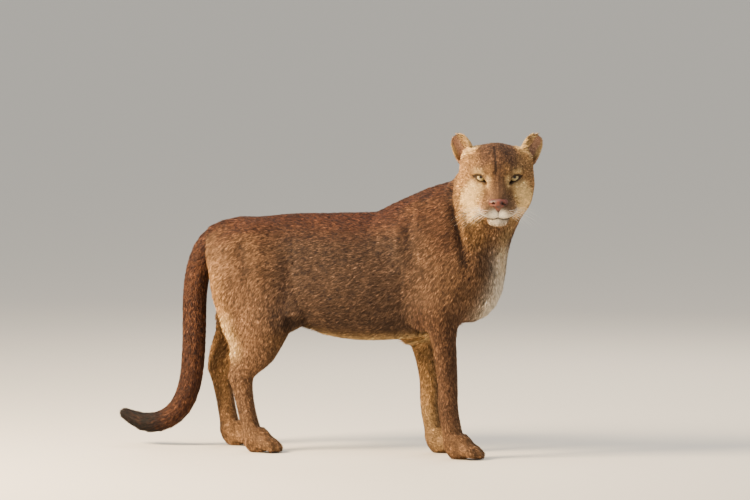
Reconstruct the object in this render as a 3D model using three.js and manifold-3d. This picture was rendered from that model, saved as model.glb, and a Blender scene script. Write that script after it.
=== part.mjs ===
// A life-size cougar that stands with its head turned to its right, as closed solids, one for each part of
// the body. Millimetres, +Z up. The animal faces +X and its left side is +Y. The floor is at Z 0. While the
// body is shaped, X 0 is at the back of the thighs and Y 0 is the middle plane.
import * as THREE from "three";
import { LoftGeometry } from "three/addons/geometries/LoftGeometry.js";
import { mergeVertices } from "three/addons/utils/BufferGeometryUtils.js";
import Module from "manifold-3d";

// Driving dimensions: heights above the floor and places along the body, coat included.
const WITHERS_Z = 668;
const BACK_Z = 600;
const BELLY_Z = 281;
const CHEST_FRONT_X = 742;
const CHEST_HALF_WIDTH = 112;
const BELLY_HALF_WIDTH = 128;
const RUMP_HALF_WIDTH = 92;
const TAIL_RADIUS = 31;
const HEAD_TURN_DEG = -67;
const HEAD_PITCH_DEG = 13;
const EYES_AT = [783, -104, 706];
const EYE_RADIUS = 15.5;
const EYE_SPREAD = 36;
const EAR_HEIGHT = 80;
const PAW_WIDTH = 84;
const GAP = 0.3;

const LEFT = 1;
const RIGHT = -1;
const SIDE_NAMES = new Map([
  [LEFT, "left"],
  [RIGHT, "right"],
]);

const wasm = await Module();
wasm.setup();

// Points, splines and blends

const vec = (x, y, z) => new THREE.Vector3(x, y, z);
const clamp = THREE.MathUtils.clamp;
const radians = THREE.MathUtils.degToRad;

// Catmull-Rom value of a list of numbers at place s, which runs from 0 to its last index.
function between(values, s) {
  const last = values.length - 1;
  const i = clamp(Math.floor(s), 0, last - 1);
  const t = s - i;
  const [b, c] = [values[i], values[i + 1]];
  const [a, d] = [values[Math.max(i - 1, 0)], values[Math.min(i + 2, last)]];
  const [v0, v1] = [(c - a) / 2, (d - b) / 2];
  return b + t * (v0 + t * (3 * (c - b) - 2 * v0 - v1 + t * (2 * (b - c) + v0 + v1)));
}

// The smaller of two distances, rounded over where they are within reach of each other.
function blend(a, b, reach) {
  const h = Math.max(reach - Math.abs(a - b), 0) / reach;
  return Math.min(a, b) - (h * h * reach) / 4;
}

// Masses of the body. Each is a function of a point that gives about how far the point lies outside it.

const SAMPLES_PER_SPAN = 5;
const SIDE_AXIS = vec(0, 1, 0);

// A rounded mass along a line of points. depths are its radii in the plane of the line, widths the ones from
// side to side, and egg above 0 makes its lower half the wider one.
function mass(points, depths, widths, egg = 0) {
  const count = (points.length - 1) * SAMPLES_PER_SPAN + 1;
  const samples = [];
  for (let i = 0; i < count; i++) {
    const s = i / SAMPLES_PER_SPAN;
    const at = [0, 1, 2].map((k) => between(points.map((p) => p[k]), s));
    samples.push({ at: vec(...at), depth: between(depths, s), width: between(widths, s) });
  }
  samples.forEach((sample, i) => {
    const from = samples[Math.max(i - 1, 0)].at;
    const to = samples[Math.min(i + 1, count - 1)].at;
    sample.along = to.clone().sub(from).normalize();
  });
  const reach = Math.max(...depths, ...widths);
  const box = new THREE.Box3().setFromPoints(samples.map((s) => s.at));
  const [nearest, offset, along, side, up] = [vec(), vec(), vec(), vec(), vec()];
  return (p) => {
    const far = box.distanceToPoint(p) - reach;
    if (far > 80) return far;
    let best = Infinity;
    let place = 0;
    for (let i = 0; i < count - 1; i++) {
      const [a, b] = [samples[i].at, samples[i + 1].at];
      nearest.subVectors(b, a);
      offset.subVectors(p, a);
      const t = clamp(offset.dot(nearest) / nearest.lengthSq(), 0, 1);
      const d = offset.addScaledVector(nearest, -t).lengthSq();
      if (d < best) [best, place] = [d, i + t];
    }
    const i = Math.min(Math.floor(place), count - 2);
    const [a, b, t] = [samples[i], samples[i + 1], place - i];
    along.lerpVectors(a.along, b.along, t).normalize();
    side.copy(SIDE_AXIS).addScaledVector(along, -along.dot(SIDE_AXIS)).normalize();
    up.crossVectors(along, side);
    nearest.lerpVectors(a.at, b.at, t);
    offset.subVectors(p, nearest);
    const depth = THREE.MathUtils.lerp(a.depth, b.depth, t);
    const high = offset.dot(up) / depth;
    const width = THREE.MathUtils.lerp(a.width, b.width, t) * (1 - egg * clamp(high, -1, 1));
    const wide = offset.dot(side) / width;
    const end = Math.min(depth, width);
    const long = offset.dot(along) / end;
    const k0 = Math.hypot(high, wide, long);
    if (k0 < 1e-4) return -end;
    return (k0 * (k0 - 1)) / Math.hypot(high / depth, wide / width, long / end);
  };
}

// An oval mass at one place.
function ball(at, radii) {
  const [cx, cy, cz] = at;
  const [rx, ry, rz] = radii;
  return (p) => {
    const [x, y, z] = [(p.x - cx) / rx, (p.y - cy) / ry, (p.z - cz) / rz];
    const k0 = Math.hypot(x, y, z);
    if (k0 < 1e-4) return -Math.min(rx, ry, rz);
    return (k0 * (k0 - 1)) / Math.hypot(x / rx, y / ry, z / rz);
  };
}

// Several masses blended into one. Each entry is a mass and the reach of its blend.
const joined = (entries) => (p) => entries.reduce((d, [m, reach]) => blend(d, m(p), reach), 1e3);

// The trunk: rump, loin, deep belly and chest, higher at the withers.
const TRUNK_STATIONS = [
  // x, top, bottom, half width
  [18, BACK_Z - 38, 420, 0.62 * RUMP_HALF_WIDTH],
  [70, BACK_Z - 18, 385, 0.92 * RUMP_HALF_WIDTH],
  [140, BACK_Z - 7, 348, RUMP_HALF_WIDTH],
  [215, BACK_Z - 2, 322, 1.14 * RUMP_HALF_WIDTH],
  [290, BACK_Z - 2, 294, 0.94 * BELLY_HALF_WIDTH],
  [370, BACK_Z - 3, BELLY_Z + 1, BELLY_HALF_WIDTH],
  [450, BACK_Z, BELLY_Z + 3, 0.97 * BELLY_HALF_WIDTH],
  [520, BACK_Z + 29, BELLY_Z + 10, CHEST_HALF_WIDTH],
  [585, WITHERS_Z - 20, BELLY_Z + 17, 0.92 * CHEST_HALF_WIDTH],
  [640, WITHERS_Z - 60, BELLY_Z + 28, 0.84 * CHEST_HALF_WIDTH],
  [CHEST_FRONT_X - 72, 560, BELLY_Z + 54, 0.62 * CHEST_HALF_WIDTH],
];
const trunk = mass(
  TRUNK_STATIONS.map(([x, top, bottom]) => [x, 0, (top + bottom) / 2]),
  TRUNK_STATIONS.map(([, top, bottom]) => (top - bottom) / 2),
  TRUNK_STATIONS.map((station) => station[3]),
  0.1,
);
const breastbone = ball([CHEST_FRONT_X - 66, 0, 440], [66, 62, 84]);
const backRidge = mass(
  [[70, 0, BACK_Z - 46], [300, 0, BACK_Z - 28], [520, 0, BACK_Z - 10]],
  [22, 24, 24],
  [30, 34, 30],
);

// The neck, thick with muscle and winter coat, which bends to the right into the head.
const NECK_LINE = [[575, 0, 510], [646, 0, 566], [700, -10, 618], [733, -22, 664], [757, -48, 702]];
const neck = mass(NECK_LINE, [142, 124, 105, 93, 84], [96, 98, 94, 88, 80]);

// One foreleg. The joints differ from side to side, because the left one stands further back. cut is how
// far under the elbow the leg is parted, clear of the belly.
const FORE_JOINTS = new Map([
  [RIGHT, { shoulder: [686, 486], elbow: [618, 364], wrist: [641, 122], knuckle: [654, 52], cut: 34 }],
  [LEFT, { shoulder: [664, 478], elbow: [496, 330], wrist: [532, 120], knuckle: [546, 52], cut: 54 }],
]);
const SHOULDER_Y = 84;
const ELBOW_Y = 90;
const WRIST_Y = 76;
const PAW_Y = 74;

function foreleg(sign) {
  const { shoulder, elbow, wrist, knuckle } = FORE_JOINTS.get(sign);
  const at = ([x, z], y, dx = 0, dz = 0) => [x + dx, sign * y, z + dz];
  const blade = mass(
    [[568, sign * 46, WITHERS_Z - 42], [622, sign * 74, 570], at(shoulder, SHOULDER_Y)],
    [52, 66, 52],
    [26, 34, 34],
  );
  const upperArm = mass([at(shoulder, SHOULDER_Y, -4), at(elbow, ELBOW_Y, 6, 8)], [60, 46], [40, 36]);
  const triceps = mass(
    [[606, sign * 72, 548], [elbow[0] + 2, sign * 92, 448], at(elbow, ELBOW_Y - 2, -20, 16)],
    [58, 62, 27],
    [32, 35, 26],
  );
  const forearm = mass(
    [
      at(elbow, ELBOW_Y, 2, 4),
      at(elbow, ELBOW_Y - 4, 0.24 * (wrist[0] - elbow[0]) + 9, -62),
      at(wrist, WRIST_Y, -2, 70),
      at(wrist, WRIST_Y),
      at(knuckle, PAW_Y),
    ],
    [38, 32, 27, 26, 25],
    [37, 34, 27, 28, 31],
  );
  return {
    upper: joined([[blade, 30], [triceps, 34], [upperArm, 30]]),
    lower: forearm,
    // The line that the leg's sections are set on, from inside the chest down to the paw.
    line: [
      [640, sign * 44, 640],
      [628, sign * 66, 540],
      [elbow[0] + 28, sign * 82, 440],
      at(elbow, ELBOW_Y),
      at(wrist, WRIST_Y, -6, 90),
      at(wrist, WRIST_Y),
      at(knuckle, PAW_Y, 4, -6),
    ],
    pawAt: [knuckle[0] + 26, sign * PAW_Y],
  };
}

// One hind leg, from the hip down over the stifle and the hock.
const HIND_JOINTS = new Map([
  [RIGHT, { hip: [72, 502], stifle: [170, 322], hock: [82, 182], knuckle: [114, 48] }],
  [LEFT, { hip: [72, 502], stifle: [104, 332], hock: [-42, 190], knuckle: [-14, 48] }],
]);
const HIP_Y = 66;
const STIFLE_Y = 92;
const HOCK_Y = 80;
const HIND_PAW_Y = 82;

function hindLeg(sign) {
  const { hip, stifle, hock, knuckle } = HIND_JOINTS.get(sign);
  const at = ([x, z], y, dx = 0, dz = 0) => [x + dx, sign * y, z + dz];
  // How far the back of the thigh follows a hock that is set further back.
  const lean = 0.72 * (hock[0] - HIND_JOINTS.get(RIGHT).hock[0]);
  const thigh = mass(
    [at(hip, HIP_Y - 6, 8, 8), at(hip, 80, 44, -72), at(stifle, STIFLE_Y, -6, 6)],
    [78, 88, 52],
    [48, 46, 38],
  );
  const ham = mass(
    [at(hip, 56, -26, -30), at(hip, 70, -22 + 0.3 * lean, -96), at(hip, 80, 4 + lean, -176)],
    [48, 52, 44],
    [38, 40, 28],
  );
  const calf = mass(
    [
      at(stifle, STIFLE_Y, -4, 6),
      at(stifle, STIFLE_Y - 3, 0.36 * (hock[0] - stifle[0]), -62),
      at(hock, HOCK_Y, 8, 18),
    ],
    [52, 48, 25],
    [38, 34, 21],
  );
  const tendon = mass(
    [at(hip, 80, 6 + lean, -190), at(hock, HOCK_Y, -11, 62), at(hock, HOCK_Y, -9, 6)],
    [27, 18, 20],
    [17, 12, 19],
  );
  const foot = mass(
    [at(hock, HOCK_Y, 2, 2), at(hock, HOCK_Y, 14, -66), at(knuckle, HIND_PAW_Y)],
    [30, 24, 24],
    [24, 25, 31],
  );
  return {
    upper: joined([[thigh, 30], [ham, 46]]),
    lower: joined([[calf, 20], [tendon, 24], [foot, 18]]),
    line: [
      [62, sign * 26, 552],
      at(hip, 52, 4, 24),
      at(hip, 76, 34, -68),
      at(stifle, STIFLE_Y - 4, -34, -6),
      at(hock, HOCK_Y, 62, 80),
      at(hock, HOCK_Y, 6, 6),
      at(knuckle, HIND_PAW_Y, -8, 44),
      at(knuckle, HIND_PAW_Y, 0, 8),
    ],
    pawAt: [knuckle[0] + 26, sign * HIND_PAW_Y],
  };
}

const FORELEGS = new Map([LEFT, RIGHT].map((sign) => [sign, foreleg(sign)]));
const HIND_LEGS = new Map([LEFT, RIGHT].map((sign) => [sign, hindLeg(sign)]));

// The tail hangs down behind the thighs and curls back just above the floor.
const TAIL_STATIONS = [
  // x, z, share of the tail's radius
  [44, 540, 1.3],
  [0, 533, 1.28],
  [-38, 506, 1.16],
  [-63, 456, 1.08],
  [-75, 390, 1.04],
  [-77, 310, 1.02],
  [-80, 230, 1],
  [-90, 158, 0.98],
  [-116, 100, 0.95],
  [-160, 66, 0.9],
  [-212, 58, 0.84],
  [-262, 76, 0.56],
];
const TAIL_LINE = TAIL_STATIONS.map(([x, z]) => [x, 0, z]);
const TAIL_RADII = TAIL_STATIONS.map((station) => station[2] * TAIL_RADIUS);
const tail = mass(TAIL_LINE, TAIL_RADII, TAIL_RADII);

// The head, in its own frame: X towards the nose, Y to its left, Z up, and the origin between the eyes.
const headFrame = new THREE.Matrix4().compose(
  vec(...EYES_AT),
  new THREE.Quaternion().setFromEuler(
    new THREE.Euler(0, radians(HEAD_PITCH_DEG), radians(HEAD_TURN_DEG), "ZYX"),
  ),
  vec(1, 1, 1),
);
const toHead = headFrame.clone().invert();

const bothSides = (make) => [LEFT, RIGHT].map(make);
const CROWN = 56;
const CHEEK_OUT = 87;
const headMasses = joined([
  [ball([-62, 0, CROWN - 60], [78, 66, 60]), 20],
  [ball([-12, 0, 20], [42, 44, 32]), 40],
  ...bothSides((s) => [ball([-42, s * (CHEEK_OUT - 42), -28], [50, 42, 44]), 34]),
  ...bothSides((s) => [ball([-50, s * 38, -66], [56, 42, 40]), 30]),
  ...bothSides((s) => [ball([-14, s * 35, 19], [20, 21, 11]), 16]),
  ...bothSides((s) => [ball([-62, s * 62, 28], [26, 24, 30]), 22]),
  [mass([[-8, 0, 0], [32, 0, -18], [62, 0, -36]], [26, 23, 16], [25, 24, 21]), 24],
  [mass([[-30, 0, -60], [20, 0, -70], [50, 0, -74]], [40, 32, 20], [52, 42, 28]), 26],
  ...bothSides((s) => [ball([48, s * 23, -64], [30, 26, 22]), 12]),
  [ball([46, 0, -96], [24, 28, 16]), 10],
]);
const headPoint = vec();
const head = (p) => headMasses(headPoint.copy(p).applyMatrix4(toHead));

// The whole surface, and the parts of it that one node's sections look at.
const LEG_REACH = 44;
const trunkAndShoulders = (p) => {
  let d = blend(trunk(p), breastbone(p), 60);
  d = blend(d, backRidge(p), 30);
  d = blend(d, neck(p), 60);
  for (const leg of FORELEGS.values()) d = blend(d, leg.upper(p), LEG_REACH);
  for (const leg of HIND_LEGS.values()) d = blend(d, leg.upper(p), LEG_REACH);
  return d;
};
const torsoSurface = (p) => blend(trunkAndShoulders(p), tail(p), 36);
const neckSurface = (p) => blend(trunkAndShoulders(p), head(p), 40);
const headSurface = (p) => blend(head(p), neck(p), 40);
const legSurface = (leg) => (p) => blend(trunkAndShoulders(p), leg.lower(p), LEG_REACH);

// Closed solids from sections

function solidOf(geometry) {
  const bare = new THREE.BufferGeometry().setAttribute("position", geometry.getAttribute("position"));
  bare.setIndex(geometry.getIndex());
  const merged = mergeVertices(bare, 1e-4);
  return new wasm.Manifold(
    new wasm.Mesh({
      numProp: 3,
      vertProperties: merged.attributes.position.array,
      triVerts: new Uint32Array(merged.index.array),
    }),
  );
}

// How far from a point inside the surface it is to the skin, in one direction.
function toSkin(surface, from, direction, limit) {
  const p = vec();
  const outside = (r) => surface(p.copy(from).addScaledVector(direction, r));
  let [low, high] = [0, 0];
  while (high < limit) {
    const d = outside(high);
    if (d >= 0) break;
    low = high;
    high += Math.max(-0.8 * d, 1.5);
  }
  if (high >= limit) return limit;
  for (let i = 0; i < 14; i++) {
    const middle = (low + high) / 2;
    if (outside(middle) < 0) low = middle;
    else high = middle;
  }
  return (low + high) / 2;
}

// A closed solid whose sections are set along a line and reach out to the surface. domes are the numbers of
// sections that fan out round each end of the line.
const LAST_LEAN_DEG = 86;
function sectioned(surface, line, { sections, points, domes = [0, 0], limit = 400, frame = null }) {
  const spots = [];
  for (let i = 0; i < sections; i++) {
    const s = (i / (sections - 1)) * (line.length - 1);
    const at = vec(...[0, 1, 2].map((k) => between(line.map((p) => p[k]), s)));
    spots.push({ at });
  }
  spots.forEach((spot, i) => {
    const from = spots[Math.max(i - 1, 0)].at;
    const to = spots[Math.min(i + 1, sections - 1)].at;
    spot.along = to.clone().sub(from).normalize();
    spot.lean = 0;
  });
  const fan = (spot, count, sign) =>
    Array.from({ length: count }, (_, i) => ({ ...spot, lean: (sign * (i + 1) * LAST_LEAN_DEG) / count }));
  const all = [...fan(spots[0], domes[0], -1).reverse(), ...spots, ...fan(spots.at(-1), domes[1], 1)];
  const rings = all.map(({ at, along, lean }) => {
    const side = SIDE_AXIS.clone().addScaledVector(along, -along.dot(SIDE_AXIS)).normalize();
    const up = along.clone().cross(side);
    const [out, ahead] = [Math.cos(radians(lean)), Math.sin(radians(lean))];
    const ring = [];
    for (let i = 0; i < points; i++) {
      const angle = (i / points) * 2 * Math.PI;
      const direction = side.clone().multiplyScalar(out * Math.cos(angle));
      direction.addScaledVector(up, out * Math.sin(angle)).addScaledVector(along, ahead).normalize();
      const origin = at.clone();
      if (frame) {
        origin.applyMatrix4(frame);
        direction.transformDirection(frame);
      }
      ring.push(origin.clone().addScaledVector(direction, toSkin(surface, origin, direction, limit)));
    }
    return ring;
  });
  return solidOf(new LoftGeometry(rings, { capStart: true, capEnd: true }));
}

// Everything on one side of a plane, as a large block.
const BLOCK = 3000;
function halfSpace(point, normal, shift = 0) {
  const n = vec(...normal).normalize();
  const turn = new THREE.Quaternion().setFromUnitVectors(vec(0, 0, 1), n);
  const centre = vec(...point).addScaledVector(n, BLOCK / 2 + shift);
  const place = new THREE.Matrix4().compose(centre, turn, vec(1, 1, 1));
  return solidOf(new THREE.BoxGeometry(BLOCK, BLOCK, BLOCK).applyMatrix4(place));
}

// The space on the inner side of several planes, moved out by grow.
const region = (planes, grow = 0) =>
  planes.map(([point, normal]) => halfSpace(point, normal, -grow)).reduce((a, b) => a.intersect(b));

// A solid's largest closed piece.
const largest = (solid) =>
  solid.decompose().reduce((best, piece) => (piece.volume() > best.volume() ? piece : best));

// Cuts a solid into lengths at planes, with the gap between neighbours.
function lengths(solid, planes) {
  const pieces = [];
  let rest = solid;
  for (const [point, normal] of planes) {
    pieces.push(rest.subtract(halfSpace(point, normal, -GAP / 2)));
    rest = rest.intersect(halfSpace(point, normal, GAP / 2));
  }
  return [...pieces, rest];
}

// Where the body is parted

const NECK_BASE = [[690, 0, 556], [0.78, 0, 0.62]];
// The head ends behind the ears and under the jaw. Both planes are given in its own frame.
const HEAD_PLANES = [
  [[-75, -10, -20], [0.82, 0.27, 0.5]],
  [[46, 0, -116], [0.25, 0, 1]],
].map(([point, normal]) => [
  vec(...point).applyMatrix4(headFrame).toArray(),
  vec(...normal).transformDirection(headFrame).toArray(),
]);
const haunchRegion = (sign) => [
  [[0, sign * 22, 345], [0, 0.9 * sign, -0.42]],
  [[262, 0, 345], [-0.97, 0, -0.25]],
];
const shoulderRegion = (sign) => [
  [[0, sign * 40, 330], [0, 0.95 * sign, -0.3]],
  [[sign === RIGHT ? 548 : 432, 0, 330], [0.99, 0, sign === RIGHT ? 0 : -0.3]],
  [[716, 0, 400], [-0.98, 0, -0.1]],
];
const TAIL_ROOT = [[-26, 0, 520], [-1, 0, -0.1]];
const TAIL_CUTS = [
  [[-74, 0, 300], [0, 0, -1]],
  [[-104, 0, 122], [-0.6, 0, -0.8]],
];
const ANKLE_Z = 64;

// Torso

const TORSO_SECTIONS = { sections: 24, points: 26, domes: [4, 5], limit: 330 };
const TORSO_LINE = [[40, 0, 480], [200, 0, 470], [400, 0, 450], [650, 0, 446]];
const legRegions = [
  ...bothSides((s) => region(haunchRegion(s), GAP)),
  ...bothSides((s) => region(shoulderRegion(s), GAP)),
];
let torso = sectioned(torsoSurface, TORSO_LINE, TORSO_SECTIONS).subtract(halfSpace(...NECK_BASE));
for (const leg of legRegions) torso = torso.subtract(leg);
torso = torso.subtract(halfSpace(...TAIL_ROOT));
const [rump, belly, chest] = lengths(torso, [
  [[236, 0, 450], [1, 0, 0]],
  [[500, 0, 450], [1, 0, 0]],
]).map(largest);

// Neck and tail

const NECK_RUN = [[604, 12, 496], [752, -52, 672]];
let neckSolid = sectioned(neckSurface, NECK_RUN, { sections: 10, points: 30, domes: [0, 8], limit: 260 })
  .intersect(halfSpace(...NECK_BASE, GAP))
  .subtract(region(HEAD_PLANES, GAP));
const tailSolid = sectioned(tail, TAIL_LINE, { sections: 26, points: 12, domes: [0, 3] });
const tailPieces = lengths(tailSolid.intersect(halfSpace(...TAIL_ROOT, GAP)), TAIL_CUTS);

// Head: its skin, then the lids, eyes, nose pad, ears and the line of the mouth set into it

const inHead = (solid) => solid.transform(headFrame.elements);
const HEAD_RUN = [[-125, 0, -6], [-60, 0, -6], [-14, 0, -30], [20, 0, -58]];
const HEAD_SECTIONS = { sections: 13, points: 36, domes: [0, 11], limit: 200, frame: headFrame };
let headSolid = sectioned(headSurface, HEAD_RUN, HEAD_SECTIONS).intersect(region(HEAD_PLANES));

const EYE_X = -3;
const LID = 2.8;
const EYE_DIVERGENCE_DEG = 10;
const eyeAt = (sign) => vec(EYE_X, sign * EYE_SPREAD, 0);
const eyeball = (sign, radius) =>
  inHead(solidOf(new THREE.SphereGeometry(radius, 14, 10).rotateZ(Math.PI / 2).translate(...eyeAt(sign))));

// The slit between the lids: an almond with its inner corner low, cut outwards along the gaze.
const SLIT = { inner: [-17, -8.5], outer: [15, 5.5], top: [-5, 16], bottom: [4, -13] };
function slit(sign) {
  const flip = ([a, b]) => [sign * a, b];
  const almond = new THREE.Shape();
  almond.moveTo(...flip(SLIT.inner));
  almond.quadraticCurveTo(...flip(SLIT.top), ...flip(SLIT.outer));
  almond.quadraticCurveTo(...flip(SLIT.bottom), ...flip(SLIT.inner));
  const prism = new THREE.ExtrudeGeometry(almond, { depth: 40, bevelEnabled: false, curveSegments: 7 });
  // The shape's X runs to the animal's left, its Y up, and it is pushed out forwards.
  const turn = new THREE.Matrix4().makeBasis(vec(0, 1, 0), vec(0, 0, 1), vec(1, 0, 0));
  prism.applyMatrix4(turn).rotateZ(sign * radians(EYE_DIVERGENCE_DEG));
  return inHead(solidOf(prism.translate(...eyeAt(sign))));
}
const eyes = new Map();
for (const sign of [LEFT, RIGHT]) {
  eyes.set(sign, eyeball(sign, EYE_RADIUS));
  headSolid = headSolid.add(eyeball(sign, EYE_RADIUS + LID)).subtract(slit(sign));
  headSolid = headSolid.subtract(eyeball(sign, EYE_RADIUS + GAP));
}

// The nose pad, broad above and narrow at the groove of the lip, with a comma-shaped nostril on each side.
const NOSE_X = 76;
const NOSE_Z = -44;
const noseSurface = (grow) => {
  const pad = joined([
    [ball([NOSE_X - 6, 0, NOSE_Z + 2], [14, 16, 10]), 6],
    ...bothSides((s) => [ball([NOSE_X - 10, s * 14, NOSE_Z], [13, 11, 10]), 6]),
    [mass([[NOSE_X - 4, 0, NOSE_Z - 2], [NOSE_X - 10, 0, NOSE_Z - 22]], [12, 8], [13, 5]), 8],
  ]);
  const local = vec();
  return (p) => pad(local.copy(p).applyMatrix4(toHead)) - grow;
};
const NOSE_RUN = [[NOSE_X - 14, 0, NOSE_Z - 3], [NOSE_X - 8, 0, NOSE_Z - 4]];
const nosePad = (grow) =>
  sectioned(noseSurface(grow), NOSE_RUN, { sections: 2, points: 20, domes: [3, 4], frame: headFrame });
const nostril = (sign) => {
  const hole = new THREE.SphereGeometry(1, 8, 6).scale(7, 4.4, 3.4).rotateZ(sign * 0.5);
  const wing = new THREE.SphereGeometry(1, 8, 6).scale(6, 4.4, 1.7).rotateZ(sign * 0.9);
  hole.translate(NOSE_X + 5, sign * 11.5, NOSE_Z + 1);
  wing.translate(NOSE_X + 1, sign * 17, NOSE_Z - 1.5);
  return inHead(solidOf(hole).add(solidOf(wing)));
};
let nose = nosePad(0);
for (const sign of [LEFT, RIGHT]) nose = nose.subtract(nostril(sign));
headSolid = headSolid.subtract(nosePad(GAP));

// The line of the mouth: a groove that dips under each half of the upper lip and runs back to the corners.
const MOUTH_FROM = [16, 0, -81];
const MOUTH_BACK_DEG = 66;
const LIP_GROOVE = 2.2;
function mouthLine() {
  const points = [];
  for (let i = -12; i <= 12; i++) {
    const share = i / 12;
    const turn = radians(share * MOUTH_BACK_DEG);
    const dip = -0.2 * Math.sin(Math.PI * Math.min(Math.abs(share) * 2.2, 1)) + 0.1 * share * share;
    const direction = vec(Math.cos(turn), Math.sin(turn), dip).normalize().transformDirection(headFrame);
    const from = vec(...MOUTH_FROM).applyMatrix4(headFrame);
    points.push(from.clone().addScaledVector(direction, toSkin(headSurface, from, direction, 120)));
  }
  const round = new THREE.Shape().absarc(0, 0, LIP_GROOVE, 0, 2 * Math.PI);
  const path = new THREE.CatmullRomCurve3(points);
  const options = { steps: 36, extrudePath: path, curveSegments: 3, bevelEnabled: false };
  return solidOf(new THREE.ExtrudeGeometry(round, options));
}
headSolid = headSolid.subtract(mouthLine());

// An ear: a cup of sections, each a crescent that opens forwards and outwards, from the root up to the tip.
const EAR_ROOT = [-66, 68, 15];
const EAR_UP = [-0.14, 0.41, 0.9];
const EAR_OPENS = [0.86, 0.42, -0.05];
const EAR_WALL = [9, 7, 5.4, 4.6, 4.2, 4, 3.8, 3.6, 3.2, 2.6];
const EAR_HALF_WIDTH = [23, 26, 28.5, 29.5, 29, 27, 23.5, 18.5, 12, 5];
const EAR_DEPTH = [22, 23, 22, 20, 17.5, 15, 12.5, 10, 7.5, 5];
const EAR_WRAP_DEG = [138, 128, 118, 110, 104, 100, 96, 93, 90, 90];
const EAR_ARC_POINTS = 9;
// How far the free edges move round for each millimetre that the ear is grown by.
const EAR_EDGE_DEG = 5;
function ear(sign, grow) {
  const up = vec(EAR_UP[0], sign * EAR_UP[1], EAR_UP[2]).normalize();
  const opens = vec(EAR_OPENS[0], sign * EAR_OPENS[1], EAR_OPENS[2]);
  opens.addScaledVector(up, -opens.dot(up)).normalize();
  const across = up.clone().cross(opens).multiplyScalar(sign);
  const root = vec(EAR_ROOT[0], sign * EAR_ROOT[1], EAR_ROOT[2]);
  const last = EAR_HALF_WIDTH.length - 1;
  const rings = EAR_HALF_WIDTH.map((width, i) => {
    const share = i / last;
    // The steps grow shorter towards the tip, which is round.
    const height = (EAR_HEIGHT + grow) * Math.sin((share * Math.PI) / 2) - grow * (1 - share);
    const arc = (out) => {
      const points = [];
      for (let k = 0; k < EAR_ARC_POINTS; k++) {
        const a = radians(EAR_WRAP_DEG[i] + EAR_EDGE_DEG * grow) * ((2 * k) / (EAR_ARC_POINTS - 1) - 1);
        const p = root.clone().addScaledVector(up, height);
        p.addScaledVector(across, (width + out) * Math.sin(a));
        p.addScaledVector(opens, -(EAR_DEPTH[i] + out) * Math.cos(a));
        points.push(p);
      }
      return points;
    };
    const ring = [...arc(grow), ...arc(-EAR_WALL[i] - grow).reverse()];
    return sign === LEFT ? ring.reverse() : ring;
  });
  return inHead(solidOf(new LoftGeometry(rings, { capStart: true, capEnd: true })));
}
const ears = new Map();
for (const sign of [LEFT, RIGHT]) {
  ears.set(sign, ear(sign, 0));
  headSolid = headSolid.subtract(ear(sign, GAP));
  neckSolid = neckSolid.subtract(ear(sign, GAP));
}

// Legs and paws

// The outer toes' places to each side of the paw's middle, as a share of its width.
const TOE_SPREAD = 0.31;
function pawSurface(leg, sign, width) {
  const [x, y] = leg.pawAt;
  const toes = [-1, -0.34, 0.34, 1].map((place) => {
    const out = place * width * TOE_SPREAD;
    const reach = 46 - 14 * place * place;
    const line = [[x - 4, y + 0.7 * out, 32], [x + 0.6 * reach, y + out, 22], [x + reach, y + out, 11]];
    return [mass(line, [18, 17, 13], [12, 12, 11]), 5];
  });
  const paw = joined([[ball([x - 10, y, 30], [38, 0.37 * width, 36]), 10], ...toes]);
  return (p) => blend(paw(p), leg.lower(p), 20);
}
function pawSolid(leg, sign, width) {
  const [x, y] = leg.pawAt;
  const run = [[x - 26, y, 36], [x + 12, y, 24]];
  const surface = pawSurface(leg, sign, width);
  return sectioned(surface, run, { sections: 5, points: 18, domes: [3, 6], limit: 110 })
    .intersect(halfSpace([0, 0, 0], [0, 0, 1]))
    .subtract(halfSpace([0, 0, ANKLE_Z], [0, 0, 1], -GAP / 2));
}
const LEG_SECTIONS = 30;
const wholeLeg = (leg, surface) =>
  sectioned(surface, leg.line, { sections: LEG_SECTIONS, points: 16, limit: 190 }).intersect(
    halfSpace([0, 0, ANKLE_Z], [0, 0, 1], GAP / 2),
  );
const HIND_PAW_SHARE = 0.93;
const STIFLE_CUT = 40;
const legParts = [];
for (const sign of [LEFT, RIGHT]) {
  const side = SIDE_NAMES.get(sign);
  const fore = FORELEGS.get(sign);
  const { elbow, cut } = FORE_JOINTS.get(sign);
  const foreSolid = wholeLeg(fore, legSurface(fore)).intersect(region(shoulderRegion(sign)));
  const [arm, forearm] = lengths(foreSolid.subtract(halfSpace(...NECK_BASE)), [
    [[elbow[0], 0, elbow[1] - cut], [0, 0, -1]],
  ]).map(largest);
  const hind = HIND_LEGS.get(sign);
  const { stifle } = HIND_JOINTS.get(sign);
  const [thigh, shank] = lengths(wholeLeg(hind, legSurface(hind)).intersect(region(haunchRegion(sign))), [
    [[stifle[0], 0, stifle[1] - STIFLE_CUT], [-0.3, 0, -1]],
  ]).map(largest);
  legParts.push(
    [`upper_foreleg_${side}`, arm],
    [`lower_foreleg_${side}`, forearm],
    [`forepaw_${side}`, pawSolid(fore, sign, PAW_WIDTH)],
    [`thigh_${side}`, thigh],
    [`lower_hind_leg_${side}`, shank],
    [`hind_paw_${side}`, pawSolid(hind, sign, HIND_PAW_SHARE * PAW_WIDTH)],
  );
}

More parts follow.
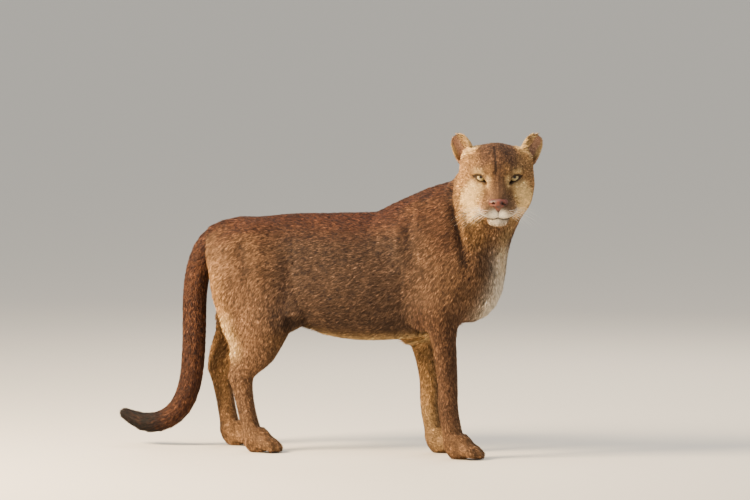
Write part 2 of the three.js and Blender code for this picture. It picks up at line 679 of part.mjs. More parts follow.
// The finished model: each part's name, solid and finish.
const COLOURS = {
  tawnyCoat: 0x9c7350,
  paleCoat: 0xb59a78,
  darkCoat: 0x33271f,
  noseLeather: 0xa5584a,
  eye: 0xb9ab6a,
};
const parts = [
  ["rump", rump, "tawnyCoat"],
  ["belly", belly, "paleCoat"],
  ["chest", chest, "tawnyCoat"],
  ["neck", neckSolid, "tawnyCoat"],
  ["head", headSolid, "tawnyCoat"],
  ["nose", nose, "noseLeather"],
  ...bothSides((s) => [`ear_${SIDE_NAMES.get(s)}`, ears.get(s), "tawnyCoat"]),
  ...bothSides((s) => [`eye_${SIDE_NAMES.get(s)}`, eyes.get(s), "eye"]),
  ["tail_root", tailPieces[0], "tawnyCoat"],
  ["tail_middle", tailPieces[1], "tawnyCoat"],
  ["tail_tip", tailPieces[2], "darkCoat"],
  ...legParts.map(([name, solid]) => [name, solid, "tawnyCoat"]),
];

const cougar = new THREE.Group();
for (const [name, solid, finish] of parts) {
  const mesh = largest(solid).getMesh();
  const geometry = new THREE.BufferGeometry();
  geometry.setAttribute("position", new THREE.BufferAttribute(mesh.vertProperties, 3));
  geometry.setIndex(new THREE.BufferAttribute(mesh.triVerts, 1));
  geometry.computeVertexNormals();
  const material = new THREE.MeshStandardMaterial({ color: COLOURS[finish], roughness: 0.9 });
  const made = new THREE.Mesh(geometry, material);
  made.name = name;
  cougar.add(made);
}

// The model's origin is on the floor under the middle of its box.
const box = new THREE.Box3().setFromObject(cougar);
const middle = box.getCenter(vec());
cougar.position.set(-middle.x, -middle.y, 0);
export default cougar;
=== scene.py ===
import math

import bmesh
import bpy
import numpy as np
from mathutils import Matrix, Vector, noise
from mathutils.bvhtree import BVHTree


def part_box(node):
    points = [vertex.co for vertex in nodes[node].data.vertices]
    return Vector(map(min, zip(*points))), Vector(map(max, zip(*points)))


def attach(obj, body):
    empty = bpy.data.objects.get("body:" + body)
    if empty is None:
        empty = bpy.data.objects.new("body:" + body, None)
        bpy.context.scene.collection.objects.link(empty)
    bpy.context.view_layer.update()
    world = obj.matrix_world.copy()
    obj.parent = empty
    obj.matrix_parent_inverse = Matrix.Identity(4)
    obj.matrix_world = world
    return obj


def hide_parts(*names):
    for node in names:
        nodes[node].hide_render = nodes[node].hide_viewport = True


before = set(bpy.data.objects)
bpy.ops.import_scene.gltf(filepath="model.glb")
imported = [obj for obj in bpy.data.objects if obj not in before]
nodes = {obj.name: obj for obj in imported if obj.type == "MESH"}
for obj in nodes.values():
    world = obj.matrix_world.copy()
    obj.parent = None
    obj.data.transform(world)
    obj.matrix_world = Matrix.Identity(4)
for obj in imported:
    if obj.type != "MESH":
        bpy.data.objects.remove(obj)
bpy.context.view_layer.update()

# Places on the animal
# The body is measured in millimetres from a point on the floor below the back of its thighs, forwards, to
# its left and up. The head is measured from between its eyes, towards the nose, to its left and up.
EYES_AT = np.array([783.0, -104.0, 706.0])
EYE_PLACE = np.array([-3.0, 36.0, 0.0])
HEAD_TURN = math.radians(-67)
HEAD_PITCH = math.radians(13)
HEAD = np.array(Matrix.Rotation(HEAD_TURN, 3, "Z") @ Matrix.Rotation(HEAD_PITCH, 3, "Y"))


def middle(node):
    """The middle of a node's box."""
    low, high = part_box(node)
    return np.array((low + high) / 2)


between_eyes = (middle("eye_left") + middle("eye_right")) / 2
floor_point = between_eyes - (EYES_AT + HEAD @ (EYE_PLACE * [1, 0, 1])) / 1000


def on_body(*place):
    """A place on the body, in metres in the row's frame."""
    return floor_point + np.array(place, float) / 1000


def on_head(*place):
    """A place on the head, in metres in the row's frame."""
    return floor_point + (EYES_AT + HEAD @ np.array(place, float)) / 1000


def body_mm(points):
    return (points - floor_point) * 1000


def head_mm(points):
    return (body_mm(points) - EYES_AT) @ HEAD


# Camera
# A long lens from far off, a little towards the animal's front and a few degrees above the middle of its
# body.
CAMERA_TURN = math.radians(22)
CAMERA_RISE = math.radians(4)
CAMERA_DISTANCE = 25.0
LENS_MM = 480
SENSOR_MM = 36
BODY_MIDDLE = (413.7, 0, 510)


def direction(turn, rise):
    """The way out from the animal at a turn from its right side to its front and a rise from the floor."""
    return Vector((math.sin(turn) * math.cos(rise), -math.cos(turn) * math.cos(rise), math.sin(rise)))


looks_at = Vector(on_body(*BODY_MIDDLE))
away = direction(CAMERA_TURN, CAMERA_RISE)
camera = bpy.data.objects.new("camera", bpy.data.cameras.new("camera"))
bpy.context.scene.collection.objects.link(camera)
camera.location = looks_at + away * CAMERA_DISTANCE
camera.rotation_euler = (-away).to_track_quat("-Z", "Y").to_euler()
camera.data.lens = LENS_MM
camera.data.sensor_width = SENSOR_MM
camera.data.clip_end = 8 * CAMERA_DISTANCE
bpy.context.scene.camera = camera

# Floor and light
# A plain pale floor under large soft lamps: a warm one low on the side of the tail, a wide one overhead, a
# weak one on the side of the head and one from behind.
FLOOR_REACH = 90
STUDIO_GLOW = 0.95
# Each lamp's name, degrees round from the camera, degrees up, distance and size in metres, watts and tint.
LAMPS = (
    ("key", -66, 30, 3.2, 1.2, 560, "#ffe2b8"),
    ("top", 10, 78, 3.0, 2.4, 60, "#fff8f0"),
    ("fill", 55, 18, 4.0, 2.4, 8, "#e6edff"),
    ("back", 165, 35, 3.6, 2.0, 90, "#ffeed6"),
)


def colour(hex_code):
    """The linear value of an sRGB hex colour."""
    parts = np.array([int(hex_code[i:i + 2], 16) / 255 for i in (1, 3, 5)])
    linear = np.where(parts <= 0.04045, parts / 12.92, ((parts + 0.055) / 1.055) ** 2.4)
    return (*linear, 1.0)


def add(tree, kind, place=(), **settings):
    """Adds a node. Settings are the node's properties, and place maps its inputs to values or outputs."""
    node = tree.nodes.new(kind)
    for name, value in settings.items():
        setattr(node, name, value)
    for socket, value in dict(place).items():
        if isinstance(value, bpy.types.NodeSocket):
            tree.links.new(value, node.inputs[socket])
        else:
            node.inputs[socket].default_value = value
    return node


def new_material(name):
    material = bpy.data.materials.new(name)
    material.use_nodes = True
    material.node_tree.nodes.clear()
    return material, material.node_tree


def show(name, mesh, material):
    """Puts a finished mesh in the scene as a piece."""
    piece = bpy.data.objects.new(name, mesh)
    bpy.context.scene.collection.objects.link(piece)
    mesh.materials.clear()
    mesh.materials.append(material)
    mesh.polygons.foreach_set("use_smooth", [True] * len(mesh.polygons))
    return piece


# Matt paint is pale and scatters all light, with no gloss at all.
floor_paint, tree = new_material("matt pale floor paint")
shader = add(tree, "ShaderNodeBsdfPrincipled", {"Base Color": colour("#cdc8bf"), "Roughness": 0.9})
add(tree, "ShaderNodeOutputMaterial", {"Surface": shader.outputs[0]})
shape = bmesh.new()
bmesh.ops.create_grid(shape, x_segments=1, y_segments=1, size=FLOOR_REACH)
floor_mesh = bpy.data.meshes.new("floor")
shape.to_mesh(floor_mesh)
shape.free()
show("floor", floor_mesh, floor_paint)

world = bpy.data.worlds.new("studio")
bpy.context.scene.world = world
world.use_nodes = True
glow = world.node_tree.nodes["Background"]
glow.inputs["Color"].default_value = colour("#eeeeec")
glow.inputs["Strength"].default_value = STUDIO_GLOW
for name, side, rise, distance, size, power, tint in LAMPS:
    lamp = bpy.data.objects.new(name, bpy.data.lights.new(name, "AREA"))
    bpy.context.scene.collection.objects.link(lamp)
    lamp.data.size = size
    lamp.data.energy = power
    lamp.data.color = colour(tint)[:3]
    towards = direction(CAMERA_TURN + math.radians(side), math.radians(rise))
    lamp.location = looks_at + towards * distance
    lamp.rotation_euler = towards.to_track_quat("Z", "Y").to_euler()
    lamp.visible_camera = False

# Skin
# The hide over the muscles, one surface from nose to tail. It lies inside the solids by the depth of the
# coat and carries the folds of the shoulder, the neck and the flank, the brows, the groove of the mouth and
# the eyelids.
VOXEL = 0.0023
MERGED_WITHIN = 1e-6
EVENED_ROUNDS = 60
CREASE_ROUNDS = 50
EYES = ("eye_left", "eye_right")
flesh = [name for name in nodes if name not in EYES and name != "nose"]


def merged_copy(names):
    """One bmesh of the named solids, with each solid's loose triangles merged."""
    shape = bmesh.new()
    for name in names:
        part = bmesh.new()
        part.from_mesh(nodes[name].data)
        bmesh.ops.remove_doubles(part, verts=part.verts, dist=MERGED_WITHIN)
        copy = bpy.data.meshes.new("copy")
        part.to_mesh(copy)
        part.free()
        shape.from_mesh(copy)
        bpy.data.meshes.remove(copy)
    return shape


def evaluated(data, *modifiers):
    """The mesh of a mesh or curve with modifiers applied, each given as its kind and its settings."""
    holder = bpy.data.objects.new("holder", data)
    bpy.context.scene.collection.objects.link(holder)
    for kind, settings in modifiers:
        modifier = holder.modifiers.new(kind, kind)
        for name, value in settings.items():
            if name == "weights":
                group = holder.vertex_groups.new(name="weights")
                for level in np.unique(value):
                    group.add(np.nonzero(value == level)[0].tolist(), float(level), "REPLACE")
                modifier.vertex_group = "weights"
            else:
                setattr(modifier, name, value)
    finished = holder.evaluated_get(bpy.context.evaluated_depsgraph_get())
    result = bpy.data.meshes.new_from_object(finished)
    bpy.data.objects.remove(holder)
    return result


def vertices(mesh):
    co = np.empty(len(mesh.vertices) * 3)
    mesh.vertices.foreach_get("co", co)
    return co.reshape(-1, 3)


def put_vertices(mesh, points):
    mesh.vertices.foreach_set("co", points.ravel())
    mesh.update()


def vertex_normals(mesh):
    normals = np.empty(len(mesh.vertices) * 3)
    mesh.vertex_normals.foreach_get("vector", normals)
    return normals.reshape(-1, 3)


def smoothed(mesh, rounds, share, forward=0.55, back=0.57, bend=None):
    """Smooths the mesh. share is how far each vertex may follow its neighbours, and every second round goes
    back by a little more, so that nothing shrinks. With bend, only what bends more than that many metres is
    smoothed."""
    edges = np.empty(len(mesh.edges) * 2, np.int64)
    mesh.edges.foreach_get("vertices", edges)
    a, b = edges.reshape(-1, 2).T
    count = len(mesh.vertices)
    near = np.bincount(a, minlength=count) + np.bincount(b, minlength=count)
    points = vertices(mesh)
    for step in range(rounds):
        sums = [np.bincount(a, points[b, k], count) + np.bincount(b, points[a, k], count) for k in range(3)]
        mean = np.stack([total / near for total in sums], 1)
        way = forward * share if step % 2 == 0 or back == 0 else -back * share
        pull = mean - points
        if bend:
            way = way * ramp(np.linalg.norm(pull, axis=1), bend, 2 * bend)
        points += pull * way[:, None]
    put_vertices(mesh, points)


def ramp(value, start, end):
    """0 before start, 1 past end, and smooth between them."""
    t = np.clip((value - start) / (end - start), 0, 1)
    return t * t * (3 - 2 * t)


def unit(v):
    return v / np.maximum(np.linalg.norm(v, axis=-1, keepdims=True), 1e-9)


def to_line(points, line):
    """How far each point is from a line of points, in millimetres."""
    best = np.full(len(points), np.inf)
    for a, b in zip(line[:-1], line[1:]):
        a, b = np.array(a, float), np.array(b, float)
        along = np.clip((points - a) @ (b - a) / ((b - a) @ (b - a)), 0, 1)
        best = np.minimum(best, np.linalg.norm(points - a - along[:, None] * (b - a), axis=1))
    return best


# The head ends at a slanting plane behind the ears and the jaw.
HEAD_END = np.array([-75, -10, -20])
NECK_WAY = np.array([-0.82, -0.27, -0.5])
HEAD_REACH = 190


def head_share(points):
    """1 on the head, 0 on the body."""
    local = head_mm(points)
    ahead = -(local - HEAD_END) @ NECK_WAY
    return ramp(ahead, -30, 10) * (np.linalg.norm(local, axis=1) < HEAD_REACH)


# An ear's own axes: from its root up to the tip, the way its cup opens, and outwards.
EAR_ROOT = np.array([-66, 68, 15])
EAR_UP = unit(np.array([-0.14, 0.41, 0.9]))
EAR_OUT = unit(np.cross(EAR_UP, [0.86, 0.42, -0.05]))
EAR_OPENS = np.cross(EAR_OUT, EAR_UP)
EAR_HEIGHT = 100
EAR_WIDTH = 48


def mirrored(local):
    """Head places with the right side laid over the left."""
    return local * [1, 0, 1] + np.abs(local) * [0, 1, 0]


def ear_place(points):
    """How much of the ear each point is, and its place up, ahead and outwards in the ear."""
    local = mirrored(head_mm(points)) - EAR_ROOT
    up, ahead, out = local @ EAR_UP, local @ EAR_OPENS, local @ EAR_OUT
    share = ramp(up, 2, 16) * (up < EAR_HEIGHT) * ramp(np.hypot(ahead, out), EAR_WIDTH, EAR_WIDTH - 10)
    return share, up, ahead, out


shape = merged_copy([name for name in nodes if name not in EYES])
solid_mesh = bpy.data.meshes.new("solids")
shape.to_mesh(solid_mesh)
shape.free()
skin_mesh = evaluated(solid_mesh, ("REMESH", {"mode": "VOXEL", "voxel_size": VOXEL}))
points = vertices(skin_mesh)
detail = np.maximum(head_share(points), ramp(body_mm(points)[:, 2], 80, 55))
smoothed(skin_mesh, EVENED_ROUNDS, 1 - 0.85 * detail)
# Between a leg and the trunk the skin is stretched over the crease, so what bends sharply there is evened
# out.
SHARP_BEND = 0.00011
smoothed(skin_mesh, CREASE_ROUNDS, 1 - ramp(detail, 0, 0.2), back=0, bend=SHARP_BEND)

# How the coat lies: place, the way the hair points, its length and the depth of the coat, in millimetres.
# Both sides of the animal are alike.
BODY_LIE = [
    ((30, 0, 580), (-1, 0, -0.45), 14, 4.6), ((236, 0, 612), (-1, 0, -0.08), 14, 4.6),
    ((420, 0, 606), (-1, 0, 0.02), 14, 4.6), ((600, 0, 668), (-1, 0, -0.1), 14, 4.6),
    ((-20, 60, 500), (-0.6, 0, -0.9), 13, 4.4), ((60, 100, 470), (-0.75, 0, -0.75), 13, 4),
    ((180, 110, 480), (-0.9, 0, -0.5), 13, 4), ((330, 125, 440), (-0.95, 0, -0.4), 14, 4.4),
    ((330, 120, 340), (-0.97, 0, -0.3), 14, 4.4), ((350, 50, 292), (-1, 0, -0.1), 15, 4.8),
    ((350, 0, 285), (-1, 0, 0), 16, 5), ((500, 0, 292), (-1, 0, 0), 16, 5),
    ((480, 120, 450), (-0.9, 0, -0.45), 14, 4.4), ((480, 110, 560), (-0.95, 0, -0.3), 14, 4.4),
    ((590, 110, 520), (-0.7, 0, -0.75), 12, 4), ((660, 105, 430), (-0.4, 0, -0.95), 12, 4),
    ((640, 90, 600), (-0.8, 0, -0.6), 13, 4.4), ((600, 90, 330), (-0.3, 0, -1), 11, 3.8),
    ((745, 20, 480), (-0.1, 0, -1), 15, 5), ((730, 0, 400), (-0.35, 0, -1), 17, 5.4),
    ((700, 50, 350), (-0.3, 0, -1), 13, 4), ((120, 105, 380), (-0.3, 0, -1), 12, 4),
    ((20, 70, 380), (-0.2, 0, -1), 13, 4), ((190, 90, 330), (-0.35, 0, -1), 12, 4),
    ((120, 80, 260), (-0.3, 0, -1), 10, 3.4), ((80, 80, 190), (-0.2, 0, -1), 9, 2.8),
    ((-20, 70, 260), (-0.3, 0, -1), 10, 3.4), ((-42, 80, 190), (-0.1, 0, -1), 9, 2.8),
    ((94, 80, 110), (0.2, 0, -1), 8, 2.6), ((-28, 80, 110), (0.2, 0, -1), 8, 2.6),
    ((560, 84, 260), (-0.1, 0, -1), 10, 3.4), ((590, 80, 190), (0, 0, -1), 9, 2.8),
    ((590, 76, 110), (0.1, 0, -1), 8, 2.6), ((680, 74, 40), (0.8, 0, -0.5), 6, 2),
    ((640, 74, 50), (0.2, 0, -1), 7, 2.2), ((580, 74, 40), (0.8, 0, -0.5), 6, 2),
    ((150, 80, 40), (0.8, 0, -0.5), 6, 2), ((110, 80, 50), (0.2, 0, -1), 7, 2.2),
    ((30, 80, 40), (0.8, 0, -0.5), 6, 2), ((-14, 80, 50), (0.3, 0, -0.8), 7, 2.2),
]
NECK_LIE = [
    ((700, -10, 742), (-0.86, 0.3, -0.35), 14, 4.6), ((640, 10, 700), (-0.95, 0.1, -0.3), 14, 4.6),
    ((690, -95, 640), (-0.75, -0.1, -0.65), 14, 4.6), ((640, -100, 600), (-0.75, 0, -0.65), 13, 4.4),
    ((720, -110, 560), (-0.45, -0.1, -0.9), 14, 4.6), ((760, -90, 560), (-0.3, 0, -1), 16, 5),
    ((790, -40, 600), (-0.1, 0.15, -1), 15, 5), ((770, 40, 640), (-0.5, 0.55, -0.6), 14, 4.6),
    ((700, 80, 640), (-0.75, 0.3, -0.6), 14, 4.6), ((770, 10, 540), (-0.1, 0, -1), 16, 5),
]
TAIL_LINE = [
    (44, 0, 540), (0, 0, 533), (-38, 0, 506), (-63, 0, 456), (-75, 0, 390), (-77, 0, 310), (-80, 0, 230),
    (-90, 0, 158), (-116, 0, 100), (-160, 0, 66), (-212, 0, 58), (-262, 0, 76),
]
TAIL_HAIR = (14, 4)
HEAD_LIE = [
    ((72, 0, -30), (-0.8, 0, 0.6), 2.6, 0.8), ((46, 0, -18), (-0.8, 0, 0.6), 3.4, 1.1),
    ((14, 0, 6), (-0.7, 0, 0.7), 4.4, 1.4), ((-14, 0, 46), (-0.85, 0, 0.5), 6, 2),
    ((-70, 0, 56), (-1, 0, -0.1), 9, 3), ((-120, 0, 40), (-1, 0, -0.4), 12, 4),
    ((6, 34, 24), (-0.5, 0.5, 0.7), 4.4, 1.2), ((-20, 50, 40), (-0.8, 0.4, 0.35), 6, 2),
    ((22, 36, -18), (-0.3, 0.9, -0.3), 3.6, 1.1), ((-6, 66, -6), (-0.8, 0.55, -0.1), 6.5, 2),
    ((-24, 84, -30), (-0.8, 0.5, -0.3), 9, 3), ((-66, 84, -50), (-0.8, 0.45, -0.45), 13, 4.2),
    ((-20, 70, -70), (-0.8, 0.4, -0.5), 11, 3.6), ((-60, 40, -104), (-0.8, 0.15, -0.6), 14, 4.6),
    ((0, 30, -112), (-0.85, 0.1, -0.5), 11, 3.5), ((54, 0, -108), (-0.6, 0, -0.8), 9, 2),
    ((66, 22, -62), (-0.35, 0.9, -0.2), 3.6, 1.1), ((44, 44, -68), (-0.75, 0.6, -0.25), 5, 1.6),
    ((20, 52, -60), (-0.8, 0.5, -0.3), 7, 2.2), ((60, 0, -92), (-0.4, 0, -0.9), 4.4, 1.2),
]


def coat_rules():
    """The rows above as places and ways in the body's frame, for both sides."""
    places, ways, sizes = [], [], []

    def take(place, way, length, depth):
        places.append(place)
        ways.append(unit(np.array(way, float)))
        sizes.append((length, depth))

    for place, way, length, depth in BODY_LIE:
        for side in (1, -1):
            take((place[0], side * place[1], place[2]), (way[0], side * way[1], way[2]), length, depth)
    for row in NECK_LIE:
        take(*row)
    for a, b in zip(TAIL_LINE[1:-1], TAIL_LINE[2:]):
        a, b = np.array(a, float), np.array(b, float)
        for share in (0.25, 0.75):
            take(a + (b - a) * share, b - a, *TAIL_HAIR)
    for place, way, length, depth in HEAD_LIE:
        for side in (1, -1):
            take(EYES_AT + HEAD @ np.array([place[0], side * place[1], place[2]]),
                 HEAD @ np.array([way[0], side * way[1], way[2]]), length, depth)
    return np.array(places, float), np.array(ways), np.array(sizes, float)


RULE_PLACES, RULE_WAYS, RULE_SIZES = coat_rules()
RULE_FALL = 2.2
POINTS_AT_ONCE = 20000
EAR_HAIR = np.array([5, 0.8])
EAR_CUP_HAIR = np.array([14, 3.2])


def coat_at(points, normals):
    """The way the hair points, its length and the coat's depth at each point, from the nearest rows."""
    mm = body_mm(points)
    ways, sizes = np.empty((len(mm), 3)), np.empty((len(mm), 2))
    for start in range(0, len(mm), POINTS_AT_ONCE):
        part = slice(start, start + POINTS_AT_ONCE)
        gap = ((mm[part, None, :] - RULE_PLACES) ** 2).sum(2) + 25
        weight = gap ** -RULE_FALL
        weight /= weight.sum(1, keepdims=True)
        ways[part] = weight @ RULE_WAYS
        sizes[part] = weight @ RULE_SIZES
    # On an ear the hair runs up to the tip. Inside, long hair grows from the inner edge across the cup.
    ears, up, ahead, out = ear_place(points)
    side = np.sign(head_mm(points)[:, 1])[:, None]
    flip = np.hstack([side ** 2, side, side ** 2])
    opens = (normals @ HEAD * flip) @ EAR_OPENS
    inner_edge = (ears * ramp(opens, 0, 0.4) * ramp(out, 8, -10))[:, None]
    ear_way = EAR_UP + inner_edge * (0.9 * EAR_OUT + 0.3 * EAR_OPENS - 0.3 * EAR_UP)
    ears = ears[:, None]
    ways = ways * (1 - ears) + (ear_way * flip) @ HEAD.T * ears
    sizes = sizes * (1 - ears) + (EAR_HAIR + inner_edge * (EAR_CUP_HAIR - EAR_HAIR)) * ears
    return ways, sizes[:, 0], sizes[:, 1]


# Folds and swellings of the hide: a line, how wide it is and how far it stands out, or in where that is
# below 0.
RIGHT_FORMS = [
    ([(645, -70, 692), (668, -104, 620), (690, -112, 548), (700, -114, 500)], 9, -7.5),
    ([(664, -70, 700), (690, -104, 620), (708, -112, 560)], 11, 4),
    ([(632, -100, 560), (636, -112, 520), (652, -114, 470)], 10, -5),
    ([(548, -108, 560), (566, -112, 500), (590, -112, 470)], 12, -3.5),
    ([(520, -108, 570), (534, -112, 500), (560, -112, 440)], 18, 4),
    ([(600, -112, 470), (604, -112, 410), (616, -108, 372)], 8, -6),
    ([(664, -112, 440), (690, -108, 400), (700, -104, 372)], 9, -5),
    ([(632, -112, 450), (640, -110, 400), (640, -106, 360)], 14, 4.5),
]
BOTH_FORMS = [
    ([(560, 100, 620), (600, 112, 560), (640, 116, 490)], 16, 4),
    ([(596, 60, 668), (548, 92, 600), (540, 108, 540)], 12, -3),
    ([(236, 104, 540), (226, 112, 450), (214, 112, 370), (226, 100, 320)], 14, -4),
    ([(150, 104, 530), (156, 110, 460), (162, 108, 400)], 11, 5),
    ([(96, 106, 520), (112, 110, 470), (124, 108, 405)], 15, -6.5),
    ([(60, 100, 500), (58, 108, 420), (60, 106, 350)], 22, 2.5),
    ([(180, 70, 590), (216, 84, 574)], 14, 3),
    ([(590, 92, 300), (600, 92, 230)], 10, 2.5),
    ([(300, 118, 500), (330, 126, 420), (360, 124, 340)], 30, -2),
]
FACE_FORMS = [
    ([(32, 15, 22), (24, 34, 29), (6, 55, 25), (-10, 66, 14)], 7, 2.4),
    ([(36, 17, 6), (30, 20, -4)], 6, -2.4),
    ([(44, 16, 4), (64, 15, -24)], 5, 1.3),
    ([(34, 28, -14), (44, 28, -36), (52, 32, -50)], 6, -2.2),
    ([(14, 56, -22), (-10, 76, -40), (-14, 82, -64)], 14, 2),
    ([(66, 12, -70), (58, 27, -74), (42, 40, -74)], 9, 2),
    ([(60, 30, -56), (42, 42, -58), (26, 50, -64)], 4, -1.6),
    ([(62, 0, -96), (56, 12, -98)], 8, 1.4),
    ([(40, 40, -90), (20, 52, -88)], 6, -1.6),
]
# The furrow down the forehead leans a little to the animal's right. It, the groove of the mouth and the edge
# round the nose pad are sunk by these depths, in millimetres.
FURROW = [(-34, -7, 69), (-12, -7, 62), (14, -6, 50), (36, -4, 24)]
FURROW_WIDTH = 3.5
FURROW_DEPTH = 1.8
MOUTH_WIDTH = 2
MOUTH_DEPTH = 3.0
NOSE_EDGE_DEPTH = 1.4


def stood_out(mm, forms, side=1):
    """How far the folds and swellings lift each place, in millimetres."""
    out = np.zeros(len(mm))
    for line, width, height in forms:
        line = [(x, side * y, z) for x, y, z in line]
        out += height * np.exp(-(to_line(mm, line) / width) ** 2)
    return out


# The line of the mouth, as its height at each turn round a point in the mouth, from the middle to the corner.
MOUTH_FROM = np.array([16, 0, -81])
MOUTH_TURNS = (0, 7.5, 15, 22.5, 30, 45, 66)
MOUTH_HEIGHTS = (-83, -86.5, -88, -88.5, -88.5, -87.5, -84)


def mouth_gap(local):
    """How far each head place is above or below the line of the mouth."""
    turn = np.degrees(np.arctan2(np.abs(local[:, 1]), local[:, 0] - MOUTH_FROM[0]))
    gap = np.abs(local[:, 2] - np.interp(turn, MOUTH_TURNS, MOUTH_HEIGHTS))
    return np.where((turn < MOUTH_TURNS[-1]) & (local[:, 0] > 20), gap, 99)


# The edge of each lid from the inner to the outer corner, across and up from the eyeball's middle: the
# upper lid hangs level and the lower one rises to the outer corner.
EYEBALL_AT = np.array([-4.5, 40.0, 0.0])
EYE_RADIUS = 17
EYE_DIVERGENCE = math.radians(10)
GAZE_RISE = math.radians(16)
GAZE_INWARDS = math.radians(3.4)
LID = 1.5
UPPER_LID = [
    (-11, -8), (-10.8, -2), (-9.4, 4.5), (-6.4, 9), (-1, 10.4), (5, 10.2), (10.5, 8.8), (14.5, 6.6),
    (17, 3.8),
]
LOWER_LID = [(-11, -8), (-8.5, -6), (-4, -5.6), (1, -5.2), (5, -3.8), (9, -1.4), (13, 0.9), (17, 3.8)]
# From the outer corner a dark streak runs on, and a painted shadow lies under the lower lid: each one's line,
# width and share.
EYE_STREAK_AND_LID_SHADOW = (
    ([(0, 15, 5.5), (0, 20, 7)], 1.6, 0.7),
    ([(0, 19.5, 0), (0, 15, -3.5), (0, 11, -8), (0, 3.5, -13.8)], 1.4, 0.4),
)


def lid_edge(line):
    """The line with its corners rounded, its two ends kept."""
    line = np.array(line, float)
    for _ in range(2):
        a, b = line[:-1], line[1:]
        cut = np.stack([0.75 * a + 0.25 * b, 0.25 * a + 0.75 * b], 1).reshape(-1, 2)
        line = np.vstack([line[:1], cut[1:-1], line[-1:]])
    return line


def eye_frame(side):
    """The eyeball's middle and the axes of its lids: forwards, outwards and up, in the row's frame."""
    turn = np.array(Matrix.Rotation(side * EYE_DIVERGENCE, 3, "Z"))
    axes = HEAD @ turn @ np.diag([1, side, 1])
    return on_head(*(EYEBALL_AT * [1, side, 1])), axes


def slit_depth(across, up):
    """How far inside the slit a place is, in millimetres, below 0 outside it."""
    top, bottom = lid_edge(UPPER_LID), lid_edge(LOWER_LID)
    above = np.interp(across, top[:, 0], top[:, 1]) - up
    below = up - np.interp(across, bottom[:, 0], bottom[:, 1])
    ends = np.minimum(across - top[0, 0], top[-1, 0] - across)
    return np.minimum(np.minimum(above, below), ends)


nose_tree = BVHTree.FromPolygons(
    [v.co for v in nodes["nose"].data.vertices], [p.vertices[:] for p in nodes["nose"].data.polygons])


def near_nose(points, reach):
    """Which points lie within reach of the nose pad, in metres."""
    local = head_mm(points)
    found = np.zeros(len(points), bool)
    for i in np.nonzero((local[:, 0] > 40) & (np.abs(local[:, 1]) < 36) & (local[:, 2] < -15))[0]:
        found[i] = nose_tree.find_nearest(Vector(points[i]), reach)[0] is not None
    return found


points = vertices(skin_mesh)
normals = vertex_normals(skin_mesh)
ways, lengths, depths = coat_at(points, normals)
mm, local = body_mm(points), head_mm(points)
move = -depths + stood_out(mm, RIGHT_FORMS)
head = head_share(points)
for side in (1, -1):
    move += stood_out(mm, BOTH_FORMS, side)
    move += stood_out(local, FACE_FORMS, side) * (head > 0)
move -= FURROW_DEPTH * np.exp(-(to_line(local, FURROW) / FURROW_WIDTH) ** 2) * (head > 0)
move -= MOUTH_DEPTH * np.exp(-(mouth_gap(local) / MOUTH_WIDTH) ** 2)
move -= NOSE_EDGE_DEPTH * near_nose(points, 0.0012)
points += normals * move[:, None] / 1000
points[:, 2] = np.maximum(points[:, 2], 0.0004)
put_vertices(skin_mesh, points)

# The trunk and the legs need fewer faces than the paws, and the face and ears keep all of theirs.
PAW_HEIGHT = 62
SKIN_FACES = 165000
kept = (np.maximum(head, ear_place(points)[0]) > 0.4) & (local[:, 0] > -110)
weights = np.where(kept, 0.0, np.where(mm[:, 2] < PAW_HEIGHT, 0.5, 1.0))
share = SKIN_FACES / (2 * len(skin_mesh.polygons))
thinned = {"ratio": share, "weights": weights, "vertex_group_factor": 1.0}
skin_mesh = evaluated(skin_mesh, ("DECIMATE", thinned))

# The faces round the eyes and the mouth are divided once more.
shape = bmesh.new()
shape.from_mesh(skin_mesh)
middles = head_mm(np.array([face.calc_center_median() for face in shape.faces]))
fine = np.linalg.norm(mirrored(middles) - EYEBALL_AT, axis=1) < 27
fine |= mouth_gap(middles) < 4
edges = {edge for face, pick in zip(shape.faces[:], fine) if pick for edge in face.edges}
bmesh.ops.subdivide_edges(shape, edges=sorted(edges, key=lambda edge: edge.index), cuts=1, use_grid_fill=True)
shape.to_mesh(skin_mesh)
shape.free()

# The lids are drawn over each eyeball, and inside the slit the skin sinks behind it.
LID_REACH = 34
SLIT_SINK = 5.5
points = vertices(skin_mesh)
for side in (1, -1):
    at, axes = eye_frame(side)
    eye = (points - at) @ axes * 1000
    reach = np.linalg.norm(eye, axis=1)
    inside = slit_depth(eye[:, 1], eye[:, 2])
    near = (eye[:, 0] > 0) & (reach < LID_REACH) & (inside > -9)
    lid = EYE_RADIUS + LID + 0.16 * np.maximum(-inside, 0) ** 1.5
    drawn = reach + (lid - reach) * ramp(-inside, 9, 3)
    drawn = np.where(inside > 0, lid - SLIT_SINK * ramp(inside, 0, 1.6), drawn)
    points[near] = at + (eye * (drawn / reach)[:, None])[near] @ axes.T / 1000
put_vertices(skin_mesh, points)

# Colours of the coat, from the back down to the belly and on the face, with painted shade in the folds, the
# forehead furrow and under the lower lids.
RED_BACK = colour("#382016")
TAWNY = colour("#5d4430")
GREY_FLANK = colour("#352820")
PALE_THIGH = colour("#76583c")
CREAM = colour("#d8b87e")
WHITE = colour("#f6ecd6")
GRIZZLE = colour("#523a29")
BRIDGE = colour("#573f2c")
SAND = colour("#8a6740")
DARK = colour("#1e140e")
EAR_SKIN = colour("#9a7462")
RED_TAIL = colour("#40281b")


